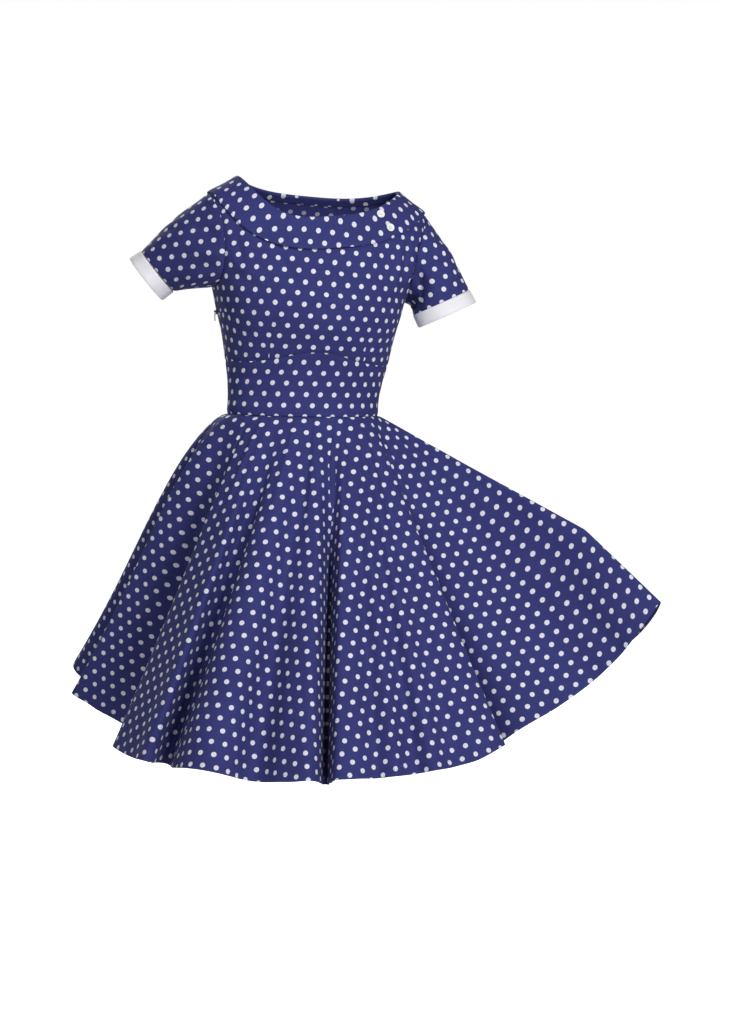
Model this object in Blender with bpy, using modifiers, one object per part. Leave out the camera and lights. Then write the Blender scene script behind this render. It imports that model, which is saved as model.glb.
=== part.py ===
"""A fit-and-flare dress with a boat-neck collar, short cuffed sleeves and a full circle skirt.

The dress keeps the hollow form that it has when worn, with one side of the skirt held out.
Metres, +Z up. The origin is midway between the two points where the neck edge meets the
shoulders. The bodice faces -Y, and the wearer's left is at +X.
"""

import math

import bpy
import numpy as np
from mathutils import Matrix, Vector

DRESS_NAME = "fit_and_flare_dress"

# Cloth
CLOTH_THICKNESS = 0.0012
COLLAR_THICKNESS = 0.0016
CUFF_THICKNESS = 0.0018
SEAM_HALF_GAP = 0.00016
SIDE_HALF_GAP = 0.0002
SHOULDER_HALF_GAP = 0.0006
ARMHOLE_HALF_GAP = 0.0005
LAID_ON_GAP = 0.0004
COLLAR_GAP = 0.0008
CUFF_GAP = 0.0010
SKIRT_SIDE_HALF_GAP = 0.0003

# Heights below the shoulder points
UNDERARM_Z = -0.196
MIDRIFF_SEAM_Z = -0.320
MIDRIFF_SEAM_RISE = 0.022
MIDRIFF_SEAM_RISE_HALF_WIDTH = 0.075
WAIST_Z = -0.411

# Neck edge and shoulder seam
NECK_HALF_WIDTH = 0.150
NECK_DEPTH_FRONT = 0.0615
NECK_DEPTH_BACK = 0.020
NECK_CURVE_POWER = 3.0
NECK_FRONT_SKEW = -0.36
SHOULDER_POINT_X = 0.202
SHOULDER_POINT_Z = -0.035
COLLAR_WIDTH = 0.0575
COLLAR_LIFT = 0.0012

# The trunk of the dress, level by level: half width, depths before and behind the side
# seams, and the power of the rounded section (2 is an ellipse, more is squarer).
TRUNK_COLUMNS = ("z", "half_width", "front", "back", "power")
TRUNK = (
    (-0.440, 0.1420, 0.104, 0.098, 2.1),
    (-0.411, 0.1380, 0.100, 0.093, 2.1),
    (-0.385, 0.1375, 0.100, 0.088, 2.1),
    (-0.350, 0.1415, 0.105, 0.088, 2.1),
    (-0.318, 0.1475, 0.114, 0.092, 2.2),
    (-0.270, 0.1555, 0.137, 0.098, 2.3),
    (-0.225, 0.1665, 0.151, 0.105, 2.4),
    (-0.196, 0.1735, 0.150, 0.108, 2.4),
    (-0.150, 0.1960, 0.140, 0.112, 2.3),
    (-0.100, 0.2135, 0.125, 0.105, 2.2),
    (-0.060, 0.2170, 0.110, 0.092, 2.1),
    (-0.035, 0.2020, 0.098, 0.080, 2.0),
    (-0.0175, 0.1760, 0.085, 0.068, 2.0),
    (0.000, 0.1500, 0.060, 0.050, 2.0),
)

# The edge of the bodice at the armhole, from the underarm up to the shoulder point.
ARMHOLE_COLUMNS = ("z", "x")
ARMHOLE = (
    (-0.196, 0.1735),
    (-0.190, 0.1728),
    (-0.170, 0.1715),
    (-0.140, 0.1730),
    (-0.100, 0.1785),
    (-0.060, 0.1900),
    (-0.035, 0.2020),
)

# The upper body leans a little: sideways shift, drop for each metre towards +X, and turn
# about the vertical in degrees, which brings the front towards +X.
LEAN_COLUMNS = ("z", "shift", "drop", "turn")
LEAN = (
    (-0.440, -0.029, 0.022, 0.0),
    (-0.411, -0.029, 0.022, 0.0),
    (-0.318, -0.022, 0.038, 0.8),
    (-0.196, -0.019, 0.076, 3.0),
    (0.000, 0.000, 0.082, 5.0),
)

# Sleeves: the ring at each cuff, by its centre, the way the arm points there and its radii.
SLEEVE_COLUMNS = ("name", "side", "centre", "axis", "radius_up", "radius_front")
SLEEVES = (
    ("right", -1, (-0.284, 0.056, -0.153), (-0.774, 0.150, -0.616), 0.0465, 0.050),
    ("left", 1, (0.214, -0.060, -0.209), (0.398, -0.077, -0.914), 0.0555, 0.050),
)
CUFF_WIDTH = 0.026
SLEEVE_FULLNESS = 0.006
UNDERARM_EASE = 0.013
UNDERARM_EASE_CURVE = 0.7
CUFF_STAND_OFF_INNER = 0.0004
CUFF_STAND_OFF_OUTER = 0.0010

# The skirt hangs in folds, so its hem runs in and out. Each row is one place on the hem:
# plan position, straight length from the waist seam, and how far the cloth stands off that
# straight line over the hip. It starts at the held-out corner and goes round by the front.
SKIRT_TURN = math.radians(-11)
HEM_COLUMNS = ("x", "y", "length", "hip")
HEM_FRONT = (
    (0.600, -0.200, 0.620, 0.000),
    (0.490, -0.178, 0.618, 0.000),
    (0.368, -0.212, 0.622, 0.000),
    (0.310, -0.200, 0.634, 0.004),
    (0.326, -0.258, 0.642, 0.006),
    (0.283, -0.303, 0.656, 0.006),
    (0.243, -0.302, 0.656, 0.006),
    (0.205, -0.333, 0.660, 0.006),
    (0.172, -0.320, 0.656, 0.006),
    (0.142, -0.348, 0.660, 0.006),
    (0.106, -0.334, 0.657, 0.006),
    (0.070, -0.360, 0.660, 0.006),
    (0.030, -0.356, 0.661, 0.006),
    (0.018, -0.250, 0.650, 0.006),
    (0.003, -0.363, 0.659, 0.006),
    (-0.040, -0.371, 0.661, 0.006),
    (-0.105, -0.316, 0.655, 0.010),
    (-0.165, -0.364, 0.658, 0.012),
    (-0.235, -0.328, 0.656, 0.014),
    (-0.262, -0.196, 0.645, 0.018),
    (-0.296, -0.258, 0.648, 0.020),
    (-0.334, -0.190, 0.647, 0.022),
    (-0.366, -0.085, 0.646, 0.024),
    (-0.275, -0.015, 0.640, 0.026),
    (-0.366, 0.070, 0.646, 0.028),
    (-0.424, 0.108, 0.646, 0.030),
    (-0.468, 0.140, 0.650, 0.030),
    (-0.390, 0.190, 0.650, 0.030),
)
HEM_BACK = (
    (-0.478, 0.262, 0.664, 0.030),
    (-0.462, 0.322, 0.662, 0.030),
    (-0.368, 0.308, 0.654, 0.030),
    (-0.392, 0.385, 0.656, 0.028),
    (-0.340, 0.432, 0.656, 0.028),
    (-0.258, 0.358, 0.650, 0.026),
    (-0.235, 0.445, 0.654, 0.026),
    (-0.175, 0.474, 0.656, 0.025),
    (-0.122, 0.392, 0.650, 0.024),
    (-0.074, 0.468, 0.654, 0.024),
    (-0.002, 0.484, 0.656, 0.024),
    (0.034, 0.388, 0.648, 0.024),
    (0.092, 0.450, 0.654, 0.024),
    (0.154, 0.436, 0.655, 0.023),
    (0.166, 0.348, 0.646, 0.022),
    (0.238, 0.386, 0.652, 0.021),
    (0.288, 0.350, 0.652, 0.019),
    (0.264, 0.270, 0.642, 0.017),
    (0.350, 0.290, 0.648, 0.015),
    (0.390, 0.240, 0.646, 0.012),
    (0.348, 0.170, 0.638, 0.010),
    (0.438, 0.172, 0.640, 0.007),
    (0.474, 0.110, 0.636, 0.005),
    (0.448, 0.040, 0.626, 0.003),
    (0.560, -0.030, 0.622, 0.000),
)
HIP_PEAK = 0.28
PINCH_LIFT = 0.040
PINCH_PLACE = 0.74
PINCH_REACH = 0.080
HIP_CURVE = 0.6
SKIRT_ROW_SPACING = 1.15
HEM_SAMPLES_EACH = 24

# Facets, and the angle between two of them that is drawn as a crease
SHARP_ANGLE = math.radians(40)
SIDE_ROWS = 4
ARMHOLE_ROWS = 8
ARMHOLE_ROWS_CROWDED = 0.55
NECK_SPANS = 12
SHOULDER_SPANS = 4
MIDRIFF_SPANS = 20
MIDRIFF_ROWS = 2
SLEEVE_ROWS = 4
COLLAR_SPANS = 44
COLLAR_ROWS = 3
SKIRT_SPANS = 88
SKIRT_ROWS = 6
TURNED_STEPS = 16
BAR_SIDES = 12
MERGE_DISTANCE = 0.00001

# Buttons, as turned discs: neck edge button and the one below it
BUTTON_RADIUS = 0.0075
BUTTON_HEIGHT = 0.0028
BUTTON_EDGE = 0.0009
BUTTON_EDGE_ANGLES = (0, 30, 60, 90)
BUTTON_STEPS = 6
BUTTON_COLUMNS = ("name", "x", "from_neck_edge")
BUTTONS = (("button_neck", 0.088, 0.0110), ("button_collar", 0.091, 0.040))

# Side zip at the wearer's right: the slider with its two lugs and pin, and the pull tab
ZIP_PIVOT_Z = -0.236
SLIDER_LENGTH = 0.0090
SLIDER_WIDTH = 0.0074
SLIDER_HEIGHT = 0.0020
SLIDER_GAP = 0.0006
LUG_THICKNESS = 0.0010
LUG_REACH = 0.0016
LUGS_APART = 0.0038
PIN_RADIUS = 0.0005
KNUCKLE_RADIUS = 0.0013
KNUCKLE_HOLE_RADIUS = 0.0008
KNUCKLE_GAP = 0.0003
PULL_LENGTH = 0.0175
PULL_WIDTH = 0.0056
PULL_THICKNESS = 0.0010
PULL_NECK = 0.0032
PULL_NECK_SHARE = 0.8
SLIDER_DROP = 0.0010
SLIDER_EDGE = 0.0004
ZIP_OVERLAP = 0.0004

# Colours (linear) and finishes
NAVY = (0.036, 0.040, 0.150, 1)
WHITE = (0.80, 0.79, 0.80, 1)
PEARL = (0.86, 0.85, 0.83, 1)
METAL = (0.16, 0.17, 0.24, 1)


def columns_of(names, rows):
    """A table with named columns as a dictionary of arrays."""
    return {name: np.array(column) for name, column in zip(names, zip(*rows))}


def smooth_between(places, values, at):
    """A smooth curve through a table's values, with no bends sharper than the table's own."""
    slopes = np.gradient(values, places)
    at = np.clip(at, places[0], places[-1])
    left = np.clip(np.searchsorted(places, at) - 1, 0, len(places) - 2)
    span = places[left + 1] - places[left]
    t = (at - places[left]) / span
    return (
        (2 * t**3 - 3 * t**2 + 1) * values[left]
        + (t**3 - 2 * t**2 + t) * span * slopes[left]
        + (3 * t**2 - 2 * t**3) * values[left + 1]
        + (t**3 - t**2) * span * slopes[left + 1]
    )


TRUNK_AT = columns_of(TRUNK_COLUMNS, TRUNK)
ARMHOLE_AT = columns_of(ARMHOLE_COLUMNS, ARMHOLE)
LEAN_AT = columns_of(LEAN_COLUMNS, LEAN)


def trunk(column, z):
    return smooth_between(TRUNK_AT["z"], TRUNK_AT[column], np.asarray(z, float))


def trunk_depth(x, z, face):
    """How far the trunk's surface lies before or behind the side seams, at this x and height."""
    share = np.clip(np.abs(x) / trunk("half_width", z), 0, 1)
    power = trunk("power", z)
    return trunk(face, z) * (1 - share**power) ** (1 / power)


def leaned(points):
    """Points of the upright trunk, moved to where they are on the leaning one."""
    x, y, z = np.moveaxis(np.array(points, float), -1, 0)
    shift, drop, turn = (smooth_between(LEAN_AT["z"], LEAN_AT[n], z) for n in LEAN_COLUMNS[1:])
    cos, sin = np.cos(np.radians(turn)), np.sin(np.radians(turn))
    return np.stack([x * cos - y * sin + shift, x * sin + y * cos, z - drop * x], axis=-1)


def neck_edge_z(x, face):
    depth = NECK_DEPTH_BACK
    if face == "front":
        depth = NECK_DEPTH_FRONT * (1 + NECK_FRONT_SKEW * x / NECK_HALF_WIDTH)
    share = np.clip(np.abs(x) / NECK_HALF_WIDTH, 0, 1)
    return -depth * (1 - share**NECK_CURVE_POWER)


def midriff_seam_z(x, face):
    rise = MIDRIFF_SEAM_RISE if face == "front" else 0
    return MIDRIFF_SEAM_Z + rise * np.exp(-((x / MIDRIFF_SEAM_RISE_HALF_WIDTH) ** 2))


def panel_edge_x(z):
    """Where the bodice ends at this height: its side seam, and above that its armhole."""
    armhole = smooth_between(ARMHOLE_AT["z"], ARMHOLE_AT["x"], z)
    return np.where(z < UNDERARM_Z, trunk("half_width", z), armhole)


def bodice_grid(face):
    """The upright bodice panel, a row for each level from the midriff seam to its top."""
    neck_share = NECK_HALF_WIDTH / SHOULDER_POINT_X
    neck_angle = math.asin(neck_share)
    angles = np.concatenate(
        [
            np.linspace(-math.pi / 2, -neck_angle, SHOULDER_SPANS + 1),
            np.linspace(-neck_angle, neck_angle, NECK_SPANS + 1)[1:-1],
            np.linspace(neck_angle, math.pi / 2, SHOULDER_SPANS + 1),
        ]
    )
    across = np.sin(angles)
    top_x = across * SHOULDER_POINT_X
    past_neck = np.clip((np.abs(top_x) - NECK_HALF_WIDTH), 0, None)
    shoulder_slope = SHOULDER_POINT_Z / (SHOULDER_POINT_X - NECK_HALF_WIDTH)
    top = np.where(past_neck > 1e-9, past_neck * shoulder_slope, neck_edge_z(top_x, face))
    bottom = midriff_seam_z(across * trunk("half_width", MIDRIFF_SEAM_Z), face)
    level = np.linspace(0, 1, SIDE_ROWS + 1)[:-1, None]
    lower = bottom + (UNDERARM_Z - bottom) * level
    step = np.linspace(0, 1, ARMHOLE_ROWS + 1)[:, None]
    crowded = ARMHOLE_ROWS_CROWDED
    eased = (1 - crowded) * step + crowded * np.sin(step * math.pi / 2)
    upper = UNDERARM_Z + (top - UNDERARM_Z) * eased
    z = np.concatenate([lower, upper])
    x = across * panel_edge_x(z)
    y = trunk_depth(x, z, face) * (-1 if face == "front" else 1)
    y[:, 0] *= np.where(z[:, 0] > UNDERARM_Z + 1e-9, 1, 0)
    y[:, -1] *= np.where(z[:, -1] > UNDERARM_Z + 1e-9, 1, 0)
    y[-1, np.abs(top_x) >= NECK_HALF_WIDTH - 1e-9] = 0
    return np.stack([x, y, z], axis=-1)


def midriff_grid(face):
    """The upright midriff panel, from the waist seam up to the midriff seam."""
    across = np.sin(np.linspace(-math.pi / 2, math.pi / 2, MIDRIFF_SPANS + 1))
    top = midriff_seam_z(across * trunk("half_width", MIDRIFF_SEAM_Z), face)
    z = WAIST_Z + (top - WAIST_Z) * np.linspace(0, 1, MIDRIFF_ROWS + 1)[:, None]
    x = across * trunk("half_width", z)
    y = trunk_depth(x, z, face) * (-1 if face == "front" else 1)
    y[:, [0, -1]] = 0
    return np.stack([x, y, z], axis=-1)


def trunk_normals(points):
    """The way out of the upright trunk's surface at each point, from its section formula."""
    step = 1e-5

    def inside(p):
        x, y, z = np.moveaxis(p, -1, 0)
        power = trunk("power", z)
        depth = np.where(y < 0, trunk("front", z), trunk("back", z))
        return (np.abs(x) / trunk("half_width", z)) ** power + (np.abs(y) / depth) ** power

    slopes = [
        inside(points + step * axis) - inside(points - step * axis) for axis in np.eye(3)
    ]
    normals = np.stack(slopes, axis=-1)
    return normals / np.linalg.norm(normals, axis=-1, keepdims=True), inside(points)


def walk_on_trunk(points, ways, length, steps):
    """Points moved this far over the trunk's surface, starting each in its own direction."""
    stops = [points]
    for _ in range(steps):
        points = points + ways * length / steps
        for _ in range(4):
            normals, value = trunk_normals(points)
            step = 1e-5
            slope = (trunk_normals(points + step * normals)[1] - value) / step
            points = points - normals * ((value - 1) / slope)[..., None]
        normals, _ = trunk_normals(points)
        ways = ways - normals * np.sum(ways * normals, axis=-1, keepdims=True)
        ways = ways / np.linalg.norm(ways, axis=-1, keepdims=True)
        stops.append(points)
    return np.array(stops)


def neck_edge_point(x, face):
    z = neck_edge_z(x, face)
    y = trunk_depth(x, z, face) * (-1 if face == "front" else 1)
    return np.stack([x, y, z], axis=-1)


def neck_loop(spans):
    """The neck edge as a closed ring, from the wearer's right by the front and back again."""
    angles = np.linspace(0, math.pi, spans // 2 + 1)[:-1]
    x = -NECK_HALF_WIDTH * np.cos(angles)
    front = neck_edge_point(x, "front")
    back = neck_edge_point(-x, "back")
    return np.concatenate([front, back])


def ways_off_neck(ring):
    """At each point of the neck ring, the way over the trunk that leads straight away from it."""
    normals, _ = trunk_normals(ring)
    along = np.roll(ring, -1, axis=0) - np.roll(ring, 1, axis=0)
    ways = np.cross(along, normals)
    return ways / np.linalg.norm(ways, axis=-1, keepdims=True)


def collar_grid():
    """The collar's outer face: rows from the neck edge out over the shoulders."""
    ring = neck_loop(COLLAR_SPANS)
    ways = ways_off_neck(ring)
    rows = walk_on_trunk(ring, ways, COLLAR_WIDTH, COLLAR_ROWS)
    share = np.linspace(0, 1, COLLAR_ROWS + 1)[:, None, None]
    off = COLLAR_GAP + COLLAR_THICKNESS + COLLAR_LIFT * share
    normals, _ = trunk_normals(rows)
    return rows + normals * off


def armhole_loop(side):
    """The armhole as a closed ring: from the shoulder point down the front, up the back."""
    column = -1 if side > 0 else 0
    front = leaned(bodice_grid("front")[SIDE_ROWS:, column])
    back = leaned(bodice_grid("back")[SIDE_ROWS:, column])
    return np.concatenate([front[::-1], back[1:-1]])


def unit(vector):
    vector = np.asarray(vector, float)
    return vector / np.linalg.norm(vector)


def cuff_frame(sleeve):
    """The cuff ring's axis, and its directions towards the top and the front of the arm."""
    axis = unit(sleeve["axis"])
    up = unit(np.cross(np.cross(axis, (0, 0, 1)), axis))
    front = np.cross(axis, up) * sleeve["side"]
    return axis, up, front


def cuff_ring(sleeve, count, past=0.0, extra=0.0):
    axis, up, front = cuff_frame(sleeve)
    angles = np.linspace(0, 2 * math.pi, count, endpoint=False)[:, None]
    radius_up = sleeve["radius_up"] + extra
    radius_front = sleeve["radius_front"] + extra
    ring = radius_up * np.cos(angles) * up + radius_front * np.sin(angles) * front
    return np.array(sleeve["centre"]) + ring + past * axis


def sleeve_grid(sleeve):
    """The sleeve, ring by ring from the armhole to its hem."""
    armhole = armhole_loop(sleeve["side"])
    hem = cuff_ring(sleeve, len(armhole))
    share = np.linspace(0, 1, SLEEVE_ROWS + 1)[:, None, None]
    rows = armhole * (1 - share) + hem * share
    middle = rows.mean(axis=1, keepdims=True)
    out = (rows - middle) / np.linalg.norm(rows - middle, axis=-1, keepdims=True)
    underside = (1 - np.cos(np.linspace(0, 2 * math.pi, len(armhole) + 1)[:-1, None])) / 2
    rows = rows + out * SLEEVE_FULLNESS * (1 - underside) * np.sin(math.pi * share) ** 2
    ease = UNDERARM_EASE * underside * np.sin(math.pi * share**UNDERARM_EASE_CURVE)
    rows[..., :1] += sleeve["side"] * ease
    return rows


def closed_curve(points, samples_each):
    """A smooth closed curve through points in any number of columns."""
    before, after, last = (np.roll(points, shift, axis=0) for shift in (1, -1, -2))
    t = np.linspace(0, 1, samples_each, endpoint=False)[:, None, None]
    tight = 0.5
    start = tight * (after - before)
    end = tight * (last - points)
    curve = (
        (2 * t**3 - 3 * t**2 + 1) * points
        + (t**3 - 2 * t**2 + t) * start
        + (3 * t**2 - 2 * t**3) * after
        + (t**3 - t**2) * end
    )
    return np.swapaxes(curve, 0, 1).reshape(-1, points.shape[1])


def lengths_along(curve):
    steps = np.linalg.norm(np.diff(curve[:, :2], axis=0), axis=1)
    return np.concatenate([[0], np.cumsum(steps)])


def evenly(curve, spans):
    """The open curve again, as points an equal distance apart in plan."""
    run = lengths_along(curve)
    at = np.linspace(0, run[-1], spans + 1)
    return np.stack([np.interp(at, run, column) for column in curve.T], axis=-1)


def hem_half(face):
    """Evenly spaced rows of the hem table's smooth curve, for the front or the back skirt.

    The side seams lie half a row before the first row of each table. A last column holds
    each place's distance from the held-out corner.
    """
    each = HEM_SAMPLES_EACH
    curve = closed_curve(np.array(HEM_FRONT + HEM_BACK), each)
    curve = np.roll(curve, each // 2, axis=0)
    curve = np.concatenate([curve, curve[:1]])
    run = lengths_along(curve)
    from_corner = np.abs(run - run[each // 2])
    from_corner = np.minimum(from_corner, run[-1] - from_corner)
    curve = np.concatenate([curve, from_corner[:, None]], axis=1)
    parting = len(HEM_FRONT) * each
    half = curve[: parting + 1] if face == "front" else curve[parting:]
    return evenly(half, SKIRT_SPANS)


def waist_half(face):
    """The waist seam under one skirt panel, from one side seam to the other, evenly spaced."""
    angles = np.linspace(0, math.pi, 240)
    x = trunk("half_width", WAIST_Z) * np.cos(angles)
    if face == "back":
        x = x[::-1]
    y = trunk_depth(x, WAIST_Z, face) * (-1 if face == "front" else 1)
    y[[0, -1]] = 0
    return evenly(np.stack([x, y, np.full_like(x, WAIST_Z)], axis=-1), SKIRT_SPANS)


def turned_about_z(points, angle):
    cos, sin = math.cos(angle), math.sin(angle)
    x, y = points[..., 0].copy(), points[..., 1].copy()
    points[..., 0] = x * cos - y * sin
    points[..., 1] = x * sin + y * cos
    return points


def skirt_grid(face):
    """The skirt panel, row by row from the waist seam to the hem."""
    waist_upright = waist_half(face)
    out, _ = trunk_normals(waist_upright)
    out[:, 2] = 0
    out /= np.linalg.norm(out, axis=-1, keepdims=True)
    waist = leaned(waist_upright)
    waist[:, 2] -= 2 * SEAM_HALF_GAP
    row = dict(zip(HEM_COLUMNS + ("from_corner",), hem_half(face).T))
    plan = turned_about_z(np.stack([row["x"], row["y"]], axis=-1), SKIRT_TURN)
    spread = np.linalg.norm(plan - waist[:, :2], axis=-1)
    drop = np.sqrt(row["length"] ** 2 - spread**2)
    hem = np.concatenate([plan, (waist[:, 2] - drop)[:, None]], axis=-1)
    share = np.linspace(0, 1, SKIRT_ROWS + 1)[:, None, None] ** SKIRT_ROW_SPACING
    rows = waist + (hem - waist) * share
    hip_shape = np.sin(math.pi * share**HIP_CURVE) * (1 - share)
    hip_peak = np.sin(math.pi * HIP_PEAK**HIP_CURVE) * (1 - HIP_PEAK)
    rows = rows + out * row["hip"][:, None] * hip_shape / hip_peak
    rise = np.where(share < PINCH_PLACE, share / PINCH_PLACE, (1 - share) / (1 - PINCH_PLACE))
    near = np.exp(-((row["from_corner"] / PINCH_REACH) ** 2))[:, None]
    rows[..., 2:] += PINCH_LIFT * rise * near
    return rows


def pulled_in(grid, bottom=0.0, top=0.0, left=0.0, right=0.0):
    """The grid with its edges drawn in over the cloth, to leave a gap at each seam."""
    grid = grid.copy()

    def draw(edge, inner, amount):
        way = inner - edge
        return edge + amount * way / np.linalg.norm(way, axis=-1, keepdims=True)

    grid[0] = draw(grid[0], grid[1], bottom)
    grid[-1] = draw(grid[-1], grid[-2], top)
    left = np.broadcast_to(left, len(grid))[:, None]
    right = np.broadcast_to(right, len(grid))[:, None]
    grid[:, 0] = draw(grid[:, 0], grid[:, 1], left)
    grid[:, -1] = draw(grid[:, -1], grid[:, -2], right)
    return grid


def cloth(name, grid, material, thickness, closed=False):
    """A panel or tube of cloth from its outer face's rows of points, thickened inwards."""
    rows, spans = grid.shape[:2]
    faces = []
    for row in range(rows - 1):
        for span in range(spans if closed else spans - 1):
            beside = (span + 1) % spans
            low, high = row * spans, (row + 1) * spans
            faces.append((low + span, low + beside, high + beside, high + span))
    mesh = bpy.data.meshes.new(name)
    mesh.from_pydata([tuple(p) for p in grid.reshape(-1, 3)], [], faces)
    mesh.materials.append(material)
    mesh.shade_smooth()
    mesh.set_sharp_from_angle(angle=SHARP_ANGLE)
    obj = bpy.data.objects.new(name, mesh)
    PIECES.objects.link(obj)
    wall = obj.modifiers.new("Cloth thickness", "SOLIDIFY")
    wall.thickness = thickness
    wall.offset = -1
    return obj


def plain_material(name, colour, roughness, metallic=0.0):
    material = bpy.data.materials.new(name)
    material.use_nodes = True
    shader = material.node_tree.nodes["Principled BSDF"]
    shader.inputs["Base Color"].default_value = colour
    shader.inputs["Roughness"].default_value = roughness
    shader.inputs["Metallic"].default_value = metallic
    return material


def edge_gaps(lower, upper):
    """The gap along a bodice side: at the side seam, then along the armhole."""
    return np.concatenate([np.full(SIDE_ROWS, lower), np.full(ARMHOLE_ROWS + 1, upper)])


def make_bodice(navy):
    gaps = edge_gaps(SIDE_HALF_GAP, ARMHOLE_HALF_GAP)
    for face in ("front", "back"):
        grid = leaned(bodice_grid(face))
        grid = pulled_in(grid, SEAM_HALF_GAP, SHOULDER_HALF_GAP, gaps, gaps)
        if face == "back":
            grid = grid[:, ::-1]
        cloth("bodice_" + face, grid, navy, CLOTH_THICKNESS)
        grid = leaned(midriff_grid(face))
        grid = pulled_in(grid, SEAM_HALF_GAP, SEAM_HALF_GAP, SIDE_HALF_GAP, SIDE_HALF_GAP)
        if face == "back":
            grid = grid[:, ::-1]
        cloth("midriff_" + face, grid, navy, CLOTH_THICKNESS)


def make_collar(navy):
    cloth("collar", leaned(collar_grid())[::-1], navy, COLLAR_THICKNESS, closed=True)


def make_sleeves(navy, white):
    for row in SLEEVES:
        sleeve = dict(zip(SLEEVE_COLUMNS, row))
        turn = -1 if sleeve["side"] > 0 else 1
        grid = pulled_in(sleeve_grid(sleeve), ARMHOLE_HALF_GAP, SEAM_HALF_GAP)
        cloth("sleeve_" + sleeve["name"], grid[::turn], navy, CLOTH_THICKNESS, closed=True)
        count = grid.shape[1]
        cuff = np.array(
            [
                cuff_ring(sleeve, count, CUFF_GAP, CUFF_STAND_OFF_INNER),
                cuff_ring(sleeve, count, CUFF_WIDTH, CUFF_STAND_OFF_OUTER),
            ]
        )
        cloth("cuff_" + sleeve["name"], cuff[::turn], white, CUFF_THICKNESS, closed=True)


def make_skirt(navy):
    for face in ("front", "back"):
        grid = skirt_grid(face)
        side = SKIRT_SIDE_HALF_GAP
        grid = pulled_in(grid, 0, 0, side, side)
        cloth("skirt_" + face, grid, navy, CLOTH_THICKNESS)


def turned_button(name, material):
    """A flat button with rounded edges, as a profile turned about +Z, its underside at 0."""
    middle = BUTTON_RADIUS - BUTTON_EDGE
    quarter = [math.radians(a) for a in BUTTON_EDGE_ANGLES]
    upper = [
        (middle + BUTTON_EDGE * math.sin(a), BUTTON_HEIGHT - BUTTON_EDGE * (1 - math.cos(a)))
        for a in quarter
    ]
    lower = [
        (middle + BUTTON_EDGE * math.cos(a), BUTTON_EDGE * (1 - math.sin(a))) for a in quarter
    ]
    profile = [(0, BUTTON_HEIGHT)] + upper + lower + [(0, 0)]
    mesh = bpy.data.meshes.new(name)
    edges = [(i, i + 1) for i in range(len(profile) - 1)]
    mesh.from_pydata([(x, 0, z) for x, z in profile], edges, [])
    mesh.materials.append(material)
    obj = bpy.data.objects.new(name, mesh)
    PIECES.objects.link(obj)
    screw = obj.modifiers.new("Turned", "SCREW")
    screw.steps = screw.render_steps = TURNED_STEPS
    screw.use_merge_vertices = True
    screw.merge_threshold = MERGE_DISTANCE
    screw.use_smooth_shade = True
    return obj


def make_buttons(pearl):
    """Both buttons lie on the collar, each turned to face straight out of it."""
    for row in BUTTONS:
        place = dict(zip(BUTTON_COLUMNS, row))
        near = place["x"] + np.array([-1, 0, 1]) * BUTTON_RADIUS / 4
        ring = neck_edge_point(near, "front")
        normals, _ = trunk_normals(ring)
        way = unit(np.cross(ring[2] - ring[0], normals[1]))
        foot = walk_on_trunk(ring[1:2], way[None], place["from_neck_edge"], BUTTON_STEPS)[-1]
        out = trunk_normals(foot)[0][0]
        lift = COLLAR_LIFT * place["from_neck_edge"] / COLLAR_WIDTH
        seat = foot[0] + out * (COLLAR_GAP + COLLAR_THICKNESS + lift + 2 * LAID_ON_GAP)
        button = turned_button(place["name"], pearl)
        button.location = leaned(seat)
        button.rotation_euler = Vector(out).to_track_quat("Z", "Y").to_euler()


def box_mesh(name, size, centre, material, collection):
    bpy.ops.mesh.primitive_cube_add(size=1)
    obj = bpy.context.object
    obj.name = name
    obj.data.name = name
    obj.data.transform(Matrix.Translation(centre) @ Matrix.Diagonal((*size, 1)))
    obj.data.materials.append(material)
    for holder in obj.users_collection:
        holder.objects.unlink(obj)
    collection.objects.link(obj)
    return obj


def round_bar(name, radius, length, material, collection):
    """A cylinder along Y, centred on the origin."""
    bpy.ops.mesh.primitive_cylinder_add(vertices=BAR_SIDES, radius=radius, depth=length)
    obj = bpy.context.object
    obj.name = name
    obj.data.name = name
    obj.data.transform(Matrix.Rotation(math.pi / 2, 4, "X"))
    obj.data.materials.append(material)
    for holder in obj.users_collection:
        holder.objects.unlink(obj)
    collection.objects.link(obj)
    return obj


def combine(piece, helper, operation, at):
    """Joins a helper shape to a piece, or cuts it out."""
    change = piece.modifiers.new(helper.name, "BOOLEAN")
    change.operation = operation
    change.object = helper
    helper.location = at
    helper.hide_render = True
    helper.display_type = "WIRE"


def zip_pivot():
    """The middle of the pull tab's pin, just outside the side seam at the wearer's right."""
    side = leaned([-float(trunk("half_width", ZIP_PIVOT_Z)), 0, ZIP_PIVOT_Z])
    return Vector((side[0] - SLIDER_GAP - SLIDER_HEIGHT - LUG_REACH, 0, side[2]))


def make_zip_slider(metal):
    """The slider's plate with two lugs and the pin between them, joined into one piece."""
    pivot = zip_pivot()
    size = (SLIDER_HEIGHT, SLIDER_WIDTH, SLIDER_LENGTH)
    centre = (LUG_REACH + SLIDER_HEIGHT / 2, 0, -SLIDER_DROP)
    slider = box_mesh("zip_slider", size, centre, metal, PIECES)
    slider.location = pivot
    bevel = slider.modifiers.new("Eased edges", "BEVEL")
    bevel.width = SLIDER_EDGE
    bevel.segments = 1
    lug_size = (2 * LUG_REACH + ZIP_OVERLAP, LUG_THICKNESS, 2 * LUG_REACH)
    for side in (-1, 1):
        place = (ZIP_OVERLAP, side * (LUGS_APART + LUG_THICKNESS) / 2, 0)
        combine(slider, box_mesh("zip_lug", lug_size, place, metal, HELPERS), "UNION", pivot)
    pin = round_bar("zip_pin", PIN_RADIUS, LUGS_APART + LUG_THICKNESS, metal, HELPERS)
    combine(slider, pin, "UNION", pivot)


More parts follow.
